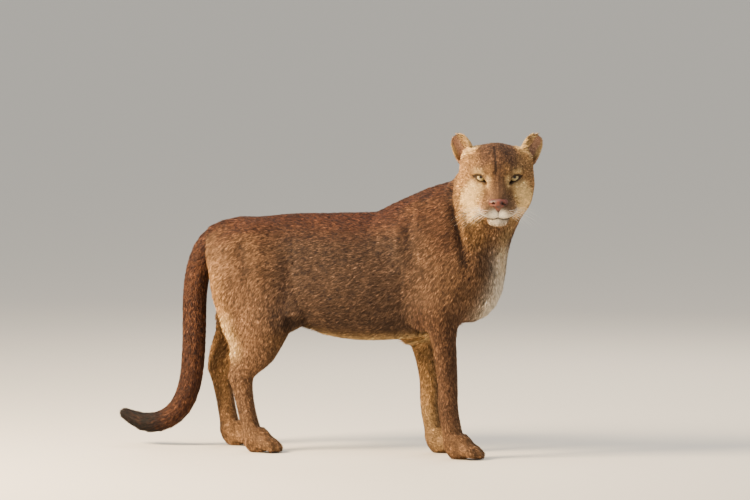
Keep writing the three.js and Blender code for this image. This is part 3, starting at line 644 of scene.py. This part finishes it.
def coat_colour_and_painted_shade(points, normals):
    """The coat's colour at each point, by place on the animal and by which way its surface faces, with
    painted shade in the folds, along the forehead furrow and under the lower lids.
    """
    mm, local = body_mm(points), head_mm(points)
    x, y, z = mm.T
    out = np.tile(np.array(TAWNY[:3]), (len(mm), 1))

    def lay(tint, share):
        np.copyto(out, out + (np.array(tint[:3]) - out) * np.clip(share, 0, 1)[:, None])

    def along(tint, share, line, width, soft=2, places=mm):
        lay(tint, share * np.exp(-(to_line(places, line) / width) ** soft))

    # The trunk is red-brown along the back, greyer on the flank and pale below and behind the thighs.
    lay(GREY_FLANK, 0.85 * ramp(z, 610, 530) * ramp(x, 120, 230) * ramp(x, 660, 500))
    lay(RED_BACK, 0.9 * ramp(z, 530, 600) * ramp(x, 700, 460))
    lay(RED_BACK, 0.7 * ramp(normals[:, 2], 0.35, 0.9) * ramp(x, 800, 640))
    lay(RED_BACK, 0.35 * ramp(x, 540, 580) * ramp(z, 420, 340))
    lay(PALE_THIGH, 0.8 * ramp(x, 90, 0) * ramp(z, 540, 440))
    lay(SAND, 0.35 * ramp(z, 330, 280) * ramp(x, 150, 230) * ramp(x, 640, 560))
    lay(CREAM, 0.4 * ramp(np.abs(y), 80, 15) * ramp(z, 330, 290) * ramp(x, 100, 200) * ramp(x, 660, 560))
    inner = -normals[:, 1] * np.sign(y)
    lay(SAND, 0.6 * ramp(inner, 0.3, 0.8) * ramp(z, 60, 160) * ramp(z, 420, 360))
    along(SAND, 0.75, [(712, -80, 700), (716, -100, 640), (736, -110, 570)], 44, 4)
    along(RED_BACK, 0.5, [(610, -60, 690), (630, -100, 620), (656, -112, 550)], 48)
    along(WHITE, 0.6, [(770, -5, 480), (752, 0, 430), (738, 0, 370)], 44)
    along(CREAM, 0.4, [(806, -50, 590), (790, -30, 530), (770, -5, 480)], 26)
    # The folds are painted darker the deeper they sink: painted shade in the hollows.
    shaded_fold_depth = np.minimum(stood_out(mm, RIGHT_FORMS), 0)
    for side in (1, -1):
        shaded_fold_depth = shaded_fold_depth + np.minimum(stood_out(mm, BOTH_FORMS, side), 0)
    lay(DARK, -0.075 * shaded_fold_depth)
    # A dark line of painted shade runs along the deep fold of the neck.
    along(DARK, 0.4, RIGHT_FORMS[0][0], 8)
    lay(RED_TAIL, ramp(to_line(mm, TAIL_LINE[1:]), 44, 36))
    lay(DARK, ramp(to_line(mm, TAIL_LINE[-4:]), 60, 34) * ramp(x, -120, -190))
    lay(PALE_THIGH, 0.5 * ramp(z, 110, 40) * ramp(x, -40, 0))
    along(SAND, 0.7, [(10, 0, 430), (38, 0, 330), (60, 0, 262)], 30, places=mm * [1, 0, 1])
    along(CREAM, 0.35, [(46, 0, 330), (66, 0, 256)], 22, places=mm * [1, 0, 1])

    # The crown is grizzled, the cheeks and brows are sandy to cream, and the lips and chin are white.
    head = head_share(points)
    mirror = mirrored(local)

    def face(tint, share, line, width, soft=2):
        lay(tint, share * head * np.exp(-(to_line(mirror, line) / width) ** soft))

    lay(GRIZZLE, 0.9 * head * ramp(local[:, 2], -30, 20))
    lay(SAND, 0.85 * head * ramp(local[:, 2], 24, -30) * ramp(mirror[:, 1], 20, 56))
    lay(SAND, 0.75 * head * ramp(mirror[:, 1], 34, 62) * ramp(local[:, 2], 80, 40))
    lay(TAWNY, 0.7 * head * ramp(local[:, 2], -98, -118))
    face(SAND, 0.6, [(26, 22, 30), (34, 20, 6), (46, 20, -20)], 12)
    face(CREAM, 1.0, [(12, 60, -36), (2, 72, -54), (10, 63, -76)], 23, 3)
    face(CREAM, 0.4, [(6, 62, -84), (-12, 62, -98)], 22)
    face(CREAM, 0.55, [(26, 44, -16), (10, 62, -14)], 10)
    face(BRIDGE, 0.6, [(72, 0, -28), (50, 0, -4), (30, 0, 26)], 15)
    face(SAND, 0.7, [(58, 0, -104), (40, 0, -118)], 26)
    face(WHITE, 1.0, [(72, 8, -73), (58, 26, -71), (48, 36, -71)], 13, 3)
    face(WHITE, 0.6, [(68, 0, -91), (60, 11, -92)], 11, 2)
    face(CREAM, 0.45, [(20, 42, 18), (12, 54, 18)], 9)
    face(CREAM, 0.45, [(32, 24, 8), (37, 25, -10)], 7)
    face(DARK, 0.25, [(60, 29, -53), (42, 42, -58), (26, 50, -64)], 4)
    face(DARK, 0.4, [(-60, 8, 66), (-30, 12, 66), (-8, 14, 54)], 15)
    # The furrow down the forehead is painted dark: painted shade in the groove.
    lay(DARK, 0.9 * head * np.exp(-(to_line(local, FURROW) / 3.4) ** 2))
    lay(DARK, 0.8 * ramp(mouth_gap(local), 2.6, 1.2))
    for side in (1, -1):
        at, axes = eye_frame(side)
        eye = (points - at) @ axes * 1000
        rim = slit_depth(eye[:, 1], eye[:, 2])
        near = (eye[:, 0] > 0) * (np.linalg.norm(eye, axis=1) < LID_REACH)
        lay(DARK, 0.85 * near * ramp(rim + 1.6 * ramp(eye[:, 2], 3, 7), -2.8, -1.6))
        # The dark streak from the outer corner, and the painted shadow under the lower lid.
        for line, width, share in EYE_STREAK_AND_LID_SHADOW:
            lay(DARK, share * near * np.exp(-(to_line(eye * [0, 1, 1], line) / width) ** 2))
    # The ears are pale at the rim and dark behind, and the thin skin shows through in the cup.
    ears, up, ahead, outwards = ear_place(points)
    toward = normals @ HEAD * np.where(local[:, 1:2] < 0, [1, -1, 1], [1, 1, 1])
    opens = toward @ EAR_OPENS
    lay(SAND, ears)
    lay(CREAM, 0.7 * ears * ramp(opens, -0.7, -0.2) * ramp(up, 20, 40))
    lay(DARK, 0.8 * ears * ramp(opens, -0.6, -0.85) * ramp(up, 20, 40))
    cup = ears * ramp(opens, 0.3, 0.7) * ramp(up, 10, 22) * ramp(np.hypot(ahead, outwards), 28, 20)
    lay(EAR_SKIN, 0.9 * cup)
    lay(SAND, 0.6 * cup * ramp(outwards, 8, -6))
    lay(CREAM, 0.35 * cup * ramp(outwards, 8, -6))
    # The pads under the paws are bare and dark.
    lay(DARK, ramp(z, 3, 1.5))
    return out


def store_colours(mesh, values):
    """Keeps a colour for each vertex, which the materials read."""
    layer = mesh.color_attributes.new("coat", "FLOAT_COLOR", "POINT")
    layer.data.foreach_set("color", np.hstack([values, np.ones((len(values), 1))]).ravel())


# Hide under short hair is matt, and its grain is that of the hair roots, a speck every 2.2 mm.
HAIR_GRAIN = 1 / 0.0022
hide, tree = new_material("hide under short hair")
tint = add(tree, "ShaderNodeVertexColor", layer_name="coat")
place = add(tree, "ShaderNodeTexCoord").outputs["Object"]
grain = add(tree, "ShaderNodeTexNoise", {"Vector": place, "Scale": HAIR_GRAIN, "Detail": 4.0})
mottle = add(tree, "ShaderNodeMapRange", {0: grain.outputs[0], 3: 0.35, 4: 1.15})
shade = add(tree, "ShaderNodeVectorMath", {0: tint.outputs[0], 1: mottle.outputs[0]}, operation="MULTIPLY")
bump = add(tree, "ShaderNodeBump", {"Height": grain.outputs[0], "Strength": 0.6, "Distance": 0.001})
shader = add(tree, "ShaderNodeBsdfPrincipled", {
    "Base Color": shade.outputs[0], "Roughness": 0.85, "Normal": bump.outputs[0], "Specular IOR Level": 0.25,
})
add(tree, "ShaderNodeOutputMaterial", {"Surface": shader.outputs[0]})

store_colours(skin_mesh, coat_colour_and_painted_shade(points, vertex_normals(skin_mesh)))
skin = show("skin", skin_mesh, hide)
bpy.context.view_layer.objects.active = skin
skin.select_set(True)
skin_mesh.uv_layers.new(name="OFBake")
bpy.ops.object.mode_set(mode="EDIT")
bpy.ops.mesh.select_all(action="SELECT")
bpy.ops.uv.smart_project(angle_limit=math.radians(70), island_margin=0.002)
bpy.ops.object.mode_set(mode="OBJECT")
skin.select_set(False)
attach(skin, "root")
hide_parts(*flesh)

# Eyes
# Each is a wet ball with a clear bulging cornea over a pale amber iris and a small round black pupil. The
# edges of the lids are bare dark skin.
CORNEA_RISE = 1.1
CORNEA_RADIUS = 9.5
RIM_RADIUS = 0.0009
RIM_SINK = 0.2
eye_look, tree = new_material("wet cornea over a pale iris")
radial = add(tree, "ShaderNodeUVMap", uv_map="gaze")
split = add(tree, "ShaderNodeSeparateXYZ", {0: radial.outputs[0]})
streaks = add(tree, "ShaderNodeTexNoise", {"Vector": radial.outputs[0], "Scale": 9.0, "Detail": 3.0})
# The rings of the eye, by the angle from its axis as a share of half a turn.
EYE_RINGS = [
    (0.0, "#050403"), (0.05, "#050403"), (0.06, "#5c4a24"), (0.1, "#a99565"), (0.175, "#9c8a5a"),
    (0.2, "#4a3a1e"), (0.222, "#1a120c"), (0.3, "#3a2c24"), (0.6, "#6a564a"),
]
rings = add(tree, "ShaderNodeValToRGB", {0: split.outputs[1]})
while len(rings.color_ramp.elements) < len(EYE_RINGS):
    rings.color_ramp.elements.new(1.0)
for element, (position, code) in zip(rings.color_ramp.elements, EYE_RINGS):
    element.position = position
    element.color = colour(code)
fibre = add(tree, "ShaderNodeMapRange", {0: streaks.outputs[0], 3: 0.8, 4: 1.3})
mixed = add(tree, "ShaderNodeVectorMath", {0: rings.outputs[0], 1: fibre.outputs[0]}, operation="MULTIPLY")
shader = add(tree, "ShaderNodeBsdfPrincipled", {
    "Base Color": mixed.outputs[0], "Roughness": 0.3, "Coat Weight": 0.5, "Coat Roughness": 0.03, "IOR": 1.38,
})
add(tree, "ShaderNodeOutputMaterial", {"Surface": shader.outputs[0]})

# Bare lid and lip skin is near black, with creases 1.2 mm apart, and always a little moist.
SKIN_CREASE = 1 / 0.0012
bare_skin, tree = new_material("bare dark lid and lip skin")
place = add(tree, "ShaderNodeTexCoord").outputs["Object"]
crease = add(tree, "ShaderNodeTexNoise", {"Vector": place, "Scale": SKIN_CREASE, "Detail": 3.0})
bump = add(tree, "ShaderNodeBump", {"Height": crease.outputs[0], "Strength": 0.4, "Distance": 0.0004})
shader = add(tree, "ShaderNodeBsdfPrincipled", {
    "Base Color": colour("#2b1c17"), "Roughness": 0.38, "Normal": bump.outputs[0],
})
add(tree, "ShaderNodeOutputMaterial", {"Surface": shader.outputs[0]})


def tubes(name, lines, closed=False, sides=1):
    """One mesh of round tubes. A line is a list of places, each with the tube's radius there, in metres."""
    curve = bpy.data.curves.new(name, "CURVE")
    curve.dimensions = "3D"
    curve.bevel_depth = 1.0
    curve.bevel_resolution = sides
    curve.use_fill_caps = True
    for line in lines:
        spline = curve.splines.new("POLY")
        spline.points.add(len(line) - 1)
        spline.use_cyclic_u = closed
        for point, (at, radius) in zip(spline.points, line):
            point.co = (*at, 1)
            point.radius = radius
    return evaluated(curve)


for name, side in zip(EYES, (1, -1)):
    shape = bmesh.new()
    bmesh.ops.create_uvsphere(shape, u_segments=48, v_segments=48, radius=EYE_RADIUS)
    gaze = shape.loops.layers.uv.new("gaze")
    for vert in shape.verts:
        angle = math.acos(max(-1, min(1, vert.co.z / EYE_RADIUS)))
        bulge = math.exp(-(EYE_RADIUS * angle / CORNEA_RADIUS) ** 4)
        vert.co *= (EYE_RADIUS + CORNEA_RISE * bulge) / EYE_RADIUS
    for face in shape.faces:
        turns = [math.atan2(loop.vert.co.y, loop.vert.co.x) / (2 * math.pi) for loop in face.loops]
        for loop, turn in zip(face.loops, turns):
            across, up, out = loop.vert.co
            away_from_axis = math.atan2(math.hypot(across, up), out) / math.pi
            if away_from_axis < 1e-4:
                turn = sum(turns) / len(turns)
            loop[gaze].uv = (turn + (1 if turn < max(turns) - 0.5 else 0), away_from_axis)
    at, axes = eye_frame(side)
    looks = axes @ np.array(Matrix.Rotation(-GAZE_INWARDS, 3, "Z") @ Matrix.Rotation(-GAZE_RISE, 3, "Y"))
    turned = Matrix(np.stack([looks[:, 1], looks[:, 2], looks[:, 0]], 1).tolist()).to_4x4()
    shape.transform(Matrix.Translation(Vector(at)) @ turned @ Matrix.Scale(0.001, 4))
    bmesh.ops.recalc_face_normals(shape, faces=shape.faces)
    mesh = bpy.data.meshes.new(name)
    shape.to_mesh(mesh)
    shape.free()
    eyeball = show(f"{name}_ball", mesh, eye_look)
    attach(eyeball, "root")
    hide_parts(name)

    edge = np.vstack([lid_edge(UPPER_LID), lid_edge(LOWER_LID)[-2:0:-1]])
    reach = np.sqrt((EYE_RADIUS + LID - RIM_SINK) ** 2 - (edge ** 2).sum(1))
    rim_line = [(at + axes @ np.array([r, a, u]) / 1000, RIM_RADIUS) for r, (a, u) in zip(reach, edge)]
    rim = show(f"{name}_rim", tubes("rim", [rim_line], closed=True), bare_skin)
    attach(rim, "root")

# Nose
# The pad of bare brick-pink leather at the end of the muzzle, pebbled and moist, with its two nostrils. It is
# grown into the skin, which closes round its edge.
NOSE_VOXEL = 0.0011
shape = merged_copy(["nose"])
nose_mesh = bpy.data.meshes.new("nose")
shape.to_mesh(nose_mesh)
shape.free()
nose_mesh = evaluated(
    nose_mesh,
    ("REMESH", {"mode": "VOXEL", "voxel_size": NOSE_VOXEL}),
    ("SMOOTH", {"factor": 0.5, "iterations": 4}),
)
# Moist leather reads as small pebbles 1.7 mm apart with a soft gloss, in blotches of a darker and a redder
# brown 9 mm across.
PEBBLE = 1 / 0.0017
BLOTCH = 1 / 0.009
leather, tree = new_material("moist pebbled nose leather")
place = add(tree, "ShaderNodeTexCoord").outputs["Object"]
pebbles = add(tree, "ShaderNodeTexVoronoi", {"Vector": place, "Scale": PEBBLE})
blotch = add(tree, "ShaderNodeTexNoise", {"Vector": place, "Scale": BLOTCH, "Detail": 4.0})
tints = add(tree, "ShaderNodeValToRGB", {0: blotch.outputs[0]})
for element, position, code in zip(tints.color_ramp.elements, (0.35, 0.68), ("#2c110b", "#6a2f1b")):
    element.position = position
    element.color = colour(code)
grooves = {"Height": pebbles.outputs[0], "Strength": 0.5, "Distance": 0.0006}
bump = add(tree, "ShaderNodeBump", grooves, invert=True)
shader = add(tree, "ShaderNodeBsdfPrincipled", {
    "Base Color": tints.outputs[0], "Roughness": 0.5, "Normal": bump.outputs[0], "Coat Weight": 0.12,
    "Coat Roughness": 0.2,
})
add(tree, "ShaderNodeOutputMaterial", {"Surface": shader.outputs[0]})
nose = show("nose_leather", nose_mesh, leather)
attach(nose, "root")
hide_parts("nose")

# Lips
# The bare dark edges of the closed mouth, thinnest at its corners, and the cleft that runs up from them to
# the nose. They lie on the skin.
LIP_TURN = 58
LIP_RADIUS = 0.0014
LIP_END_RADIUS = 0.0003
CLEFT_RADIUS = 0.0007
CLEFT_HEIGHTS = (-66, -82)
skin_points = vertices(skin_mesh)
skin_tree = BVHTree.FromPolygons(skin_points.tolist(), [p.vertices[:] for p in skin_mesh.polygons])


def on_skin(start, way):
    """Where a line from inside the head, in its own frame, comes out through the skin."""
    out = Vector(HEAD @ unit(np.array(way, float)))
    return np.array(skin_tree.ray_cast(Vector(on_head(*start)) + out * 0.15, -out)[0])


lip_line = []
for turn in np.linspace(-LIP_TURN, LIP_TURN, 41):
    height = np.interp(abs(turn), MOUTH_TURNS, MOUTH_HEIGHTS)
    way = (math.cos(math.radians(turn)), math.sin(math.radians(turn)), 0)
    radius = LIP_END_RADIUS + (LIP_RADIUS - LIP_END_RADIUS) * math.cos(math.radians(turn * 1.5))
    lip_line.append((on_skin((MOUTH_FROM[0], 0, height), way), radius))
cleft = []
for height in np.linspace(*CLEFT_HEIGHTS, 7):
    cleft.append((on_skin((MOUTH_FROM[0], 0, height), (1, 0, 0)), CLEFT_RADIUS))
lips = show("lips", tubes("lips", [lip_line, cleft]), bare_skin)
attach(lips, "root")

# Coat
# Short dense hair in thin overlapping tufts that lie back along the body and down the legs, longest under
# the belly and behind the thighs and shortest on the face and paws. Each tuft is a narrow blade rooted in
# the hide.
SPACINGS = (1.35, 1.75, 1.95, 2.15)
TRIES_PER_CELL = 3.2
CELLS = [1, 4096, 4096 ** 2]
TUFTS_PER_PIECE = 66000
random = np.random.default_rng(11)


def spacing_at(points):
    """Which spacing the tufts have at each point: finest on the face, then the paws, head and legs."""
    mm, local = body_mm(points), head_mm(points)
    head, low = head_share(points), mm[:, 2]
    choice = np.full(len(points), 3)
    choice[low < 300] = 2
    choice[(low < 75) | (head > 0.3)] = 1
    choice[(head > 0.5) & (local[:, 0] > -16)] = 0
    choice[to_line(mm, TAIL_LINE[1:]) < 40] = 3
    return choice


skin_mesh.calc_loop_triangles()
count = len(skin_mesh.loop_triangles)
corners, loops, areas = np.empty(count * 3, np.int64), np.empty(count * 3, np.int64), np.empty(count)
skin_mesh.loop_triangles.foreach_get("vertices", corners)
skin_mesh.loop_triangles.foreach_get("loops", loops)
skin_mesh.loop_triangles.foreach_get("area", areas)
corners, loops = corners.reshape(-1, 3), loops.reshape(-1, 3)
skin_normals = vertex_normals(skin_mesh)
skin_uv = np.empty(len(skin_mesh.loops) * 2)
skin_mesh.uv_layers["OFBake"].data.foreach_get("uv", skin_uv)
skin_uv = skin_uv.reshape(-1, 2)


def roots_on_skin():
    """Evenly scattered places on the skin: one of the random places that fall in each small cell."""
    middles = skin_points[corners].mean(1)
    choice = spacing_at(middles)
    found = []
    for index, step in enumerate(SPACINGS):
        weight = np.where(choice == index, areas, 0)
        tries = int(TRIES_PER_CELL * weight.sum() * 1e6 / step ** 2)
        picked = random.choice(count, tries, p=weight / weight.sum())
        share = random.random((tries, 2))
        share = np.where(share.sum(1, keepdims=True) > 1, 1 - share, share)
        share = np.hstack([share, 1 - share.sum(1, keepdims=True)])[:, :, None]
        places = (skin_points[corners[picked]] * share).sum(1)
        cells = np.floor(places * 1000 / step).astype(np.int64) @ CELLS
        first = np.unique(cells, return_index=True)[1]
        normals = (skin_normals[corners[picked[first]]] * share[first]).sum(1)
        found.append((places[first], normals, (skin_uv[loops[picked[first]]] * share[first]).sum(1)))
    return [np.concatenate(parts) for parts in zip(*found)]


roots, normals, root_uv = roots_on_skin()
normals = unit(normals)
ways, lengths, depths = coat_at(roots, normals)
local = head_mm(roots)

# Round the eyes the hair is very short and points away from the lids, and none grows on the eye, the nose,
# the lips or the pads of the paws.
EYE_HAIR_LENGTH = 2.4
EYE_HAIR_DEPTH = 0.5
bare = (roots[:, 2] < 0.003) | (mouth_gap(local) < 0.9) | near_nose(roots, 0.0022)
for side in (1, -1):
    at, axes = eye_frame(side)
    eye = (roots - at) @ axes * 1000
    reach = np.linalg.norm(eye, axis=1)
    near = ramp(reach, 38, 20)
    outwards = unit(eye * [0, 1, 1]) @ axes.T
    ways = ways * (1 - 0.8 * near[:, None]) + 0.8 * outwards * near[:, None]
    lengths = lengths + (EYE_HAIR_LENGTH - lengths) * near
    depths = depths + (EYE_HAIR_DEPTH - depths) * near
    bare |= (eye[:, 0] > 0) & (reach < 26) & (slit_depth(eye[:, 1], eye[:, 2]) > -1.5)
roots, normals, root_uv = roots[~bare], normals[~bare], root_uv[~bare]
ways, lengths, depths = ways[~bare], lengths[~bare], depths[~bare]

# A tuft's vertices, as the row along it and the place across it as a share of its width, and how unevenly the
# tufts turn and roll, in radians. Each has a small patch of the skin's map to itself.
TUFT = np.array([(0, -0.4), (0, 0.4), (1, 0.5), (1, -0.5), (2, 0.0)])
TUFT_FACES = [(0, 1, 2, 3), (3, 2, 4)]
TURN_SPREAD = 0.2
ROLL_SPREAD = 0.3
ROOT_DEPTH = 0.0004
FLOOR_GAP = 0.0003
PATCH = 0.003


def speckle(mm, size, seed):
    """Soft random values about 0 that change over size millimetres."""
    return np.array([noise.noise(p) for p in (mm / size + seed).tolist()])


def tuft_mesh(name, roots, normals, ways, lengths, depths, root_uv, colours):
    """A mesh of all the tufts: blades that rise from the root and bend over to lie flat at the tip."""
    count = len(roots)
    lie = unit(ways - normals * (ways * normals).sum(1, keepdims=True))
    turn = random.normal(0, TURN_SPREAD, count)[:, None]
    lie = unit(lie * np.cos(turn) + np.cross(normals, lie) * np.sin(turn))
    roll = random.normal(0, ROLL_SPREAD, count)[:, None]
    side = np.cross(normals, lie) * np.cos(roll) + normals * np.sin(roll)
    lengths = lengths * random.uniform(0.7, 1.2, count)
    widths = (0.34 + 0.072 * lengths) * random.uniform(0.75, 1.3, count)
    rise = depths * random.uniform(0.65, 1.12, count) / lengths
    steep, flat = np.clip(1.3 * rise, 0, 0.95), np.clip(0.6 * rise, 0, 0.9)
    start = roots - normals * ROOT_DEPTH
    half = lengths[:, None] / 2000
    mid = start + (lie * np.sqrt(1 - steep ** 2)[:, None] + normals * steep[:, None]) * half
    tip = mid + (lie * np.sqrt(1 - flat ** 2)[:, None] + normals * flat[:, None]) * half
    spine = np.stack([start, mid, tip], 1)
    row = TUFT[:, 0].astype(int)
    points = spine[:, row] + side[:, None] * (TUFT[:, 1] * widths[:, None])[:, :, None] / 1000
    points[:, :, 2] = np.maximum(points[:, :, 2], FLOOR_GAP)

    mesh = bpy.data.meshes.new(name)
    size = len(TUFT)
    mesh.vertices.add(count * size)
    mesh.vertices.foreach_set("co", points.ravel())
    pattern = np.concatenate(TUFT_FACES)
    corner = (np.arange(count)[:, None] * size + pattern).ravel()
    mesh.loops.add(len(corner))
    mesh.loops.foreach_set("vertex_index", corner)
    begins = np.array([0, len(TUFT_FACES[0])])
    mesh.polygons.add(count * len(TUFT_FACES))
    mesh.polygons.foreach_set("loop_start", (np.arange(count)[:, None] * len(pattern) + begins).ravel())
    mesh.update(calc_edges=True)

    patch = np.stack([TUFT[:, 1] * 0.5, TUFT[:, 0] / 2 - 0.5], 1) * PATCH
    spots = np.clip(root_uv[:, None] + patch[None], 0.0005, 0.9995)
    layer = mesh.uv_layers.new(name="OFBake")
    layer.data.foreach_set("uv", spots.reshape(-1, 2)[corner].ravel())

    # Grey, black and sandy hairs mix where the coat is dark, and little where it is pale.
    mm = roots * 1000
    mixed = 1 - 0.72 * ramp(colours.mean(1), 0.25, 0.5)
    shade = mixed * (1.3 * speckle(mm, 4.2, 0) + 0.5 * speckle(mm, 9, 40) + 0.25 * speckle(mm, 45, 80))
    shade = np.exp(shade + mixed * random.normal(-0.04, 0.38, count))
    ticked = random.random(count) < 0.3 * mixed
    # Each blade darkens towards its root, partly the hair's own darker base and partly painted shade where
    # the tufts cover one another; a few have black tips.
    shades = np.stack([0.6 * shade, shade, np.where(ticked, 0.45, 1.15) * shade], 1)[:, row]
    store_colours(mesh, np.clip(colours[:, None] * shades[:, :, None], 0.01, 1).reshape(-1, 3))
    return mesh


# Guard hair is a fine dry fibre that reads as matt, darker at its root than at its tip, partly by its own
# colour and partly by painted shade, and here and there black-tipped.
hair, tree = new_material("short dense guard hair")
tint = add(tree, "ShaderNodeVertexColor", layer_name="coat")
shader = add(tree, "ShaderNodeBsdfPrincipled", {
    "Base Color": tint.outputs[0], "Roughness": 0.7, "Specular IOR Level": 0.12,
})
add(tree, "ShaderNodeOutputMaterial", {"Surface": shader.outputs[0]})

tuft_colours_and_shade = coat_colour_and_painted_shade(roots, normals)
order = np.argsort(roots[:, 0], kind="stable")
bands = np.array_split(order, math.ceil(len(order) / TUFTS_PER_PIECE))
for number, band in enumerate(bands, 1):
    mesh = tuft_mesh(f"coat_{number}", roots[band], normals[band], ways[band], lengths[band], depths[band],
                     root_uv[band], tuft_colours_and_shade[band])
    piece = show(f"coat_{number}", mesh, hair)
    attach(piece, "root")

# Whiskers
# Long stiff white hairs in four rows on each half of the upper lip, thick at the root and drawn out to a
# point.
WHISKER_RADIUS = 0.00025
WHISKER_LENGTH = 0.072
WHISKER_SAG = np.array([-0.25, 0, -0.42])
TOP_ROW = -62
ROW_STEP = 5.2
whisker_lines = []
for side in (1, -1):
    for row in range(4):
        for place in range(4):
            turn = math.radians(24 + 8.5 * place + 3 * (row % 2))
            start = (MOUTH_FROM[0], 0, TOP_ROW - ROW_STEP * row)
            root = on_skin(start, (math.cos(turn), side * math.sin(turn), 0))
            length = WHISKER_LENGTH - 0.006 * abs(row - 1.5) - 0.01 * (3 - place)
            length += random.uniform(-0.006, 0.006)
            out = unit(np.array([-0.2 + 0.1 * (3 - place), side, 0.06 - 0.17 * row]))
            line = []
            for step in np.linspace(0, 1, 9):
                at = root + HEAD @ (out * step + WHISKER_SAG * step ** 2) * length
                line.append((at, WHISKER_RADIUS * (1 - 0.88 * step)))
            whisker_lines.append(line)
# Whisker is a solid horny fibre, ivory white with a slight shine along it.
horn, tree = new_material("ivory white whisker")
shader = add(tree, "ShaderNodeBsdfPrincipled", {"Base Color": colour("#f1ebdf"), "Roughness": 0.35})
add(tree, "ShaderNodeOutputMaterial", {"Surface": shader.outputs[0]})
whiskers = show("whiskers", tubes("whiskers", whisker_lines, sides=0), horn)
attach(whiskers, "root")
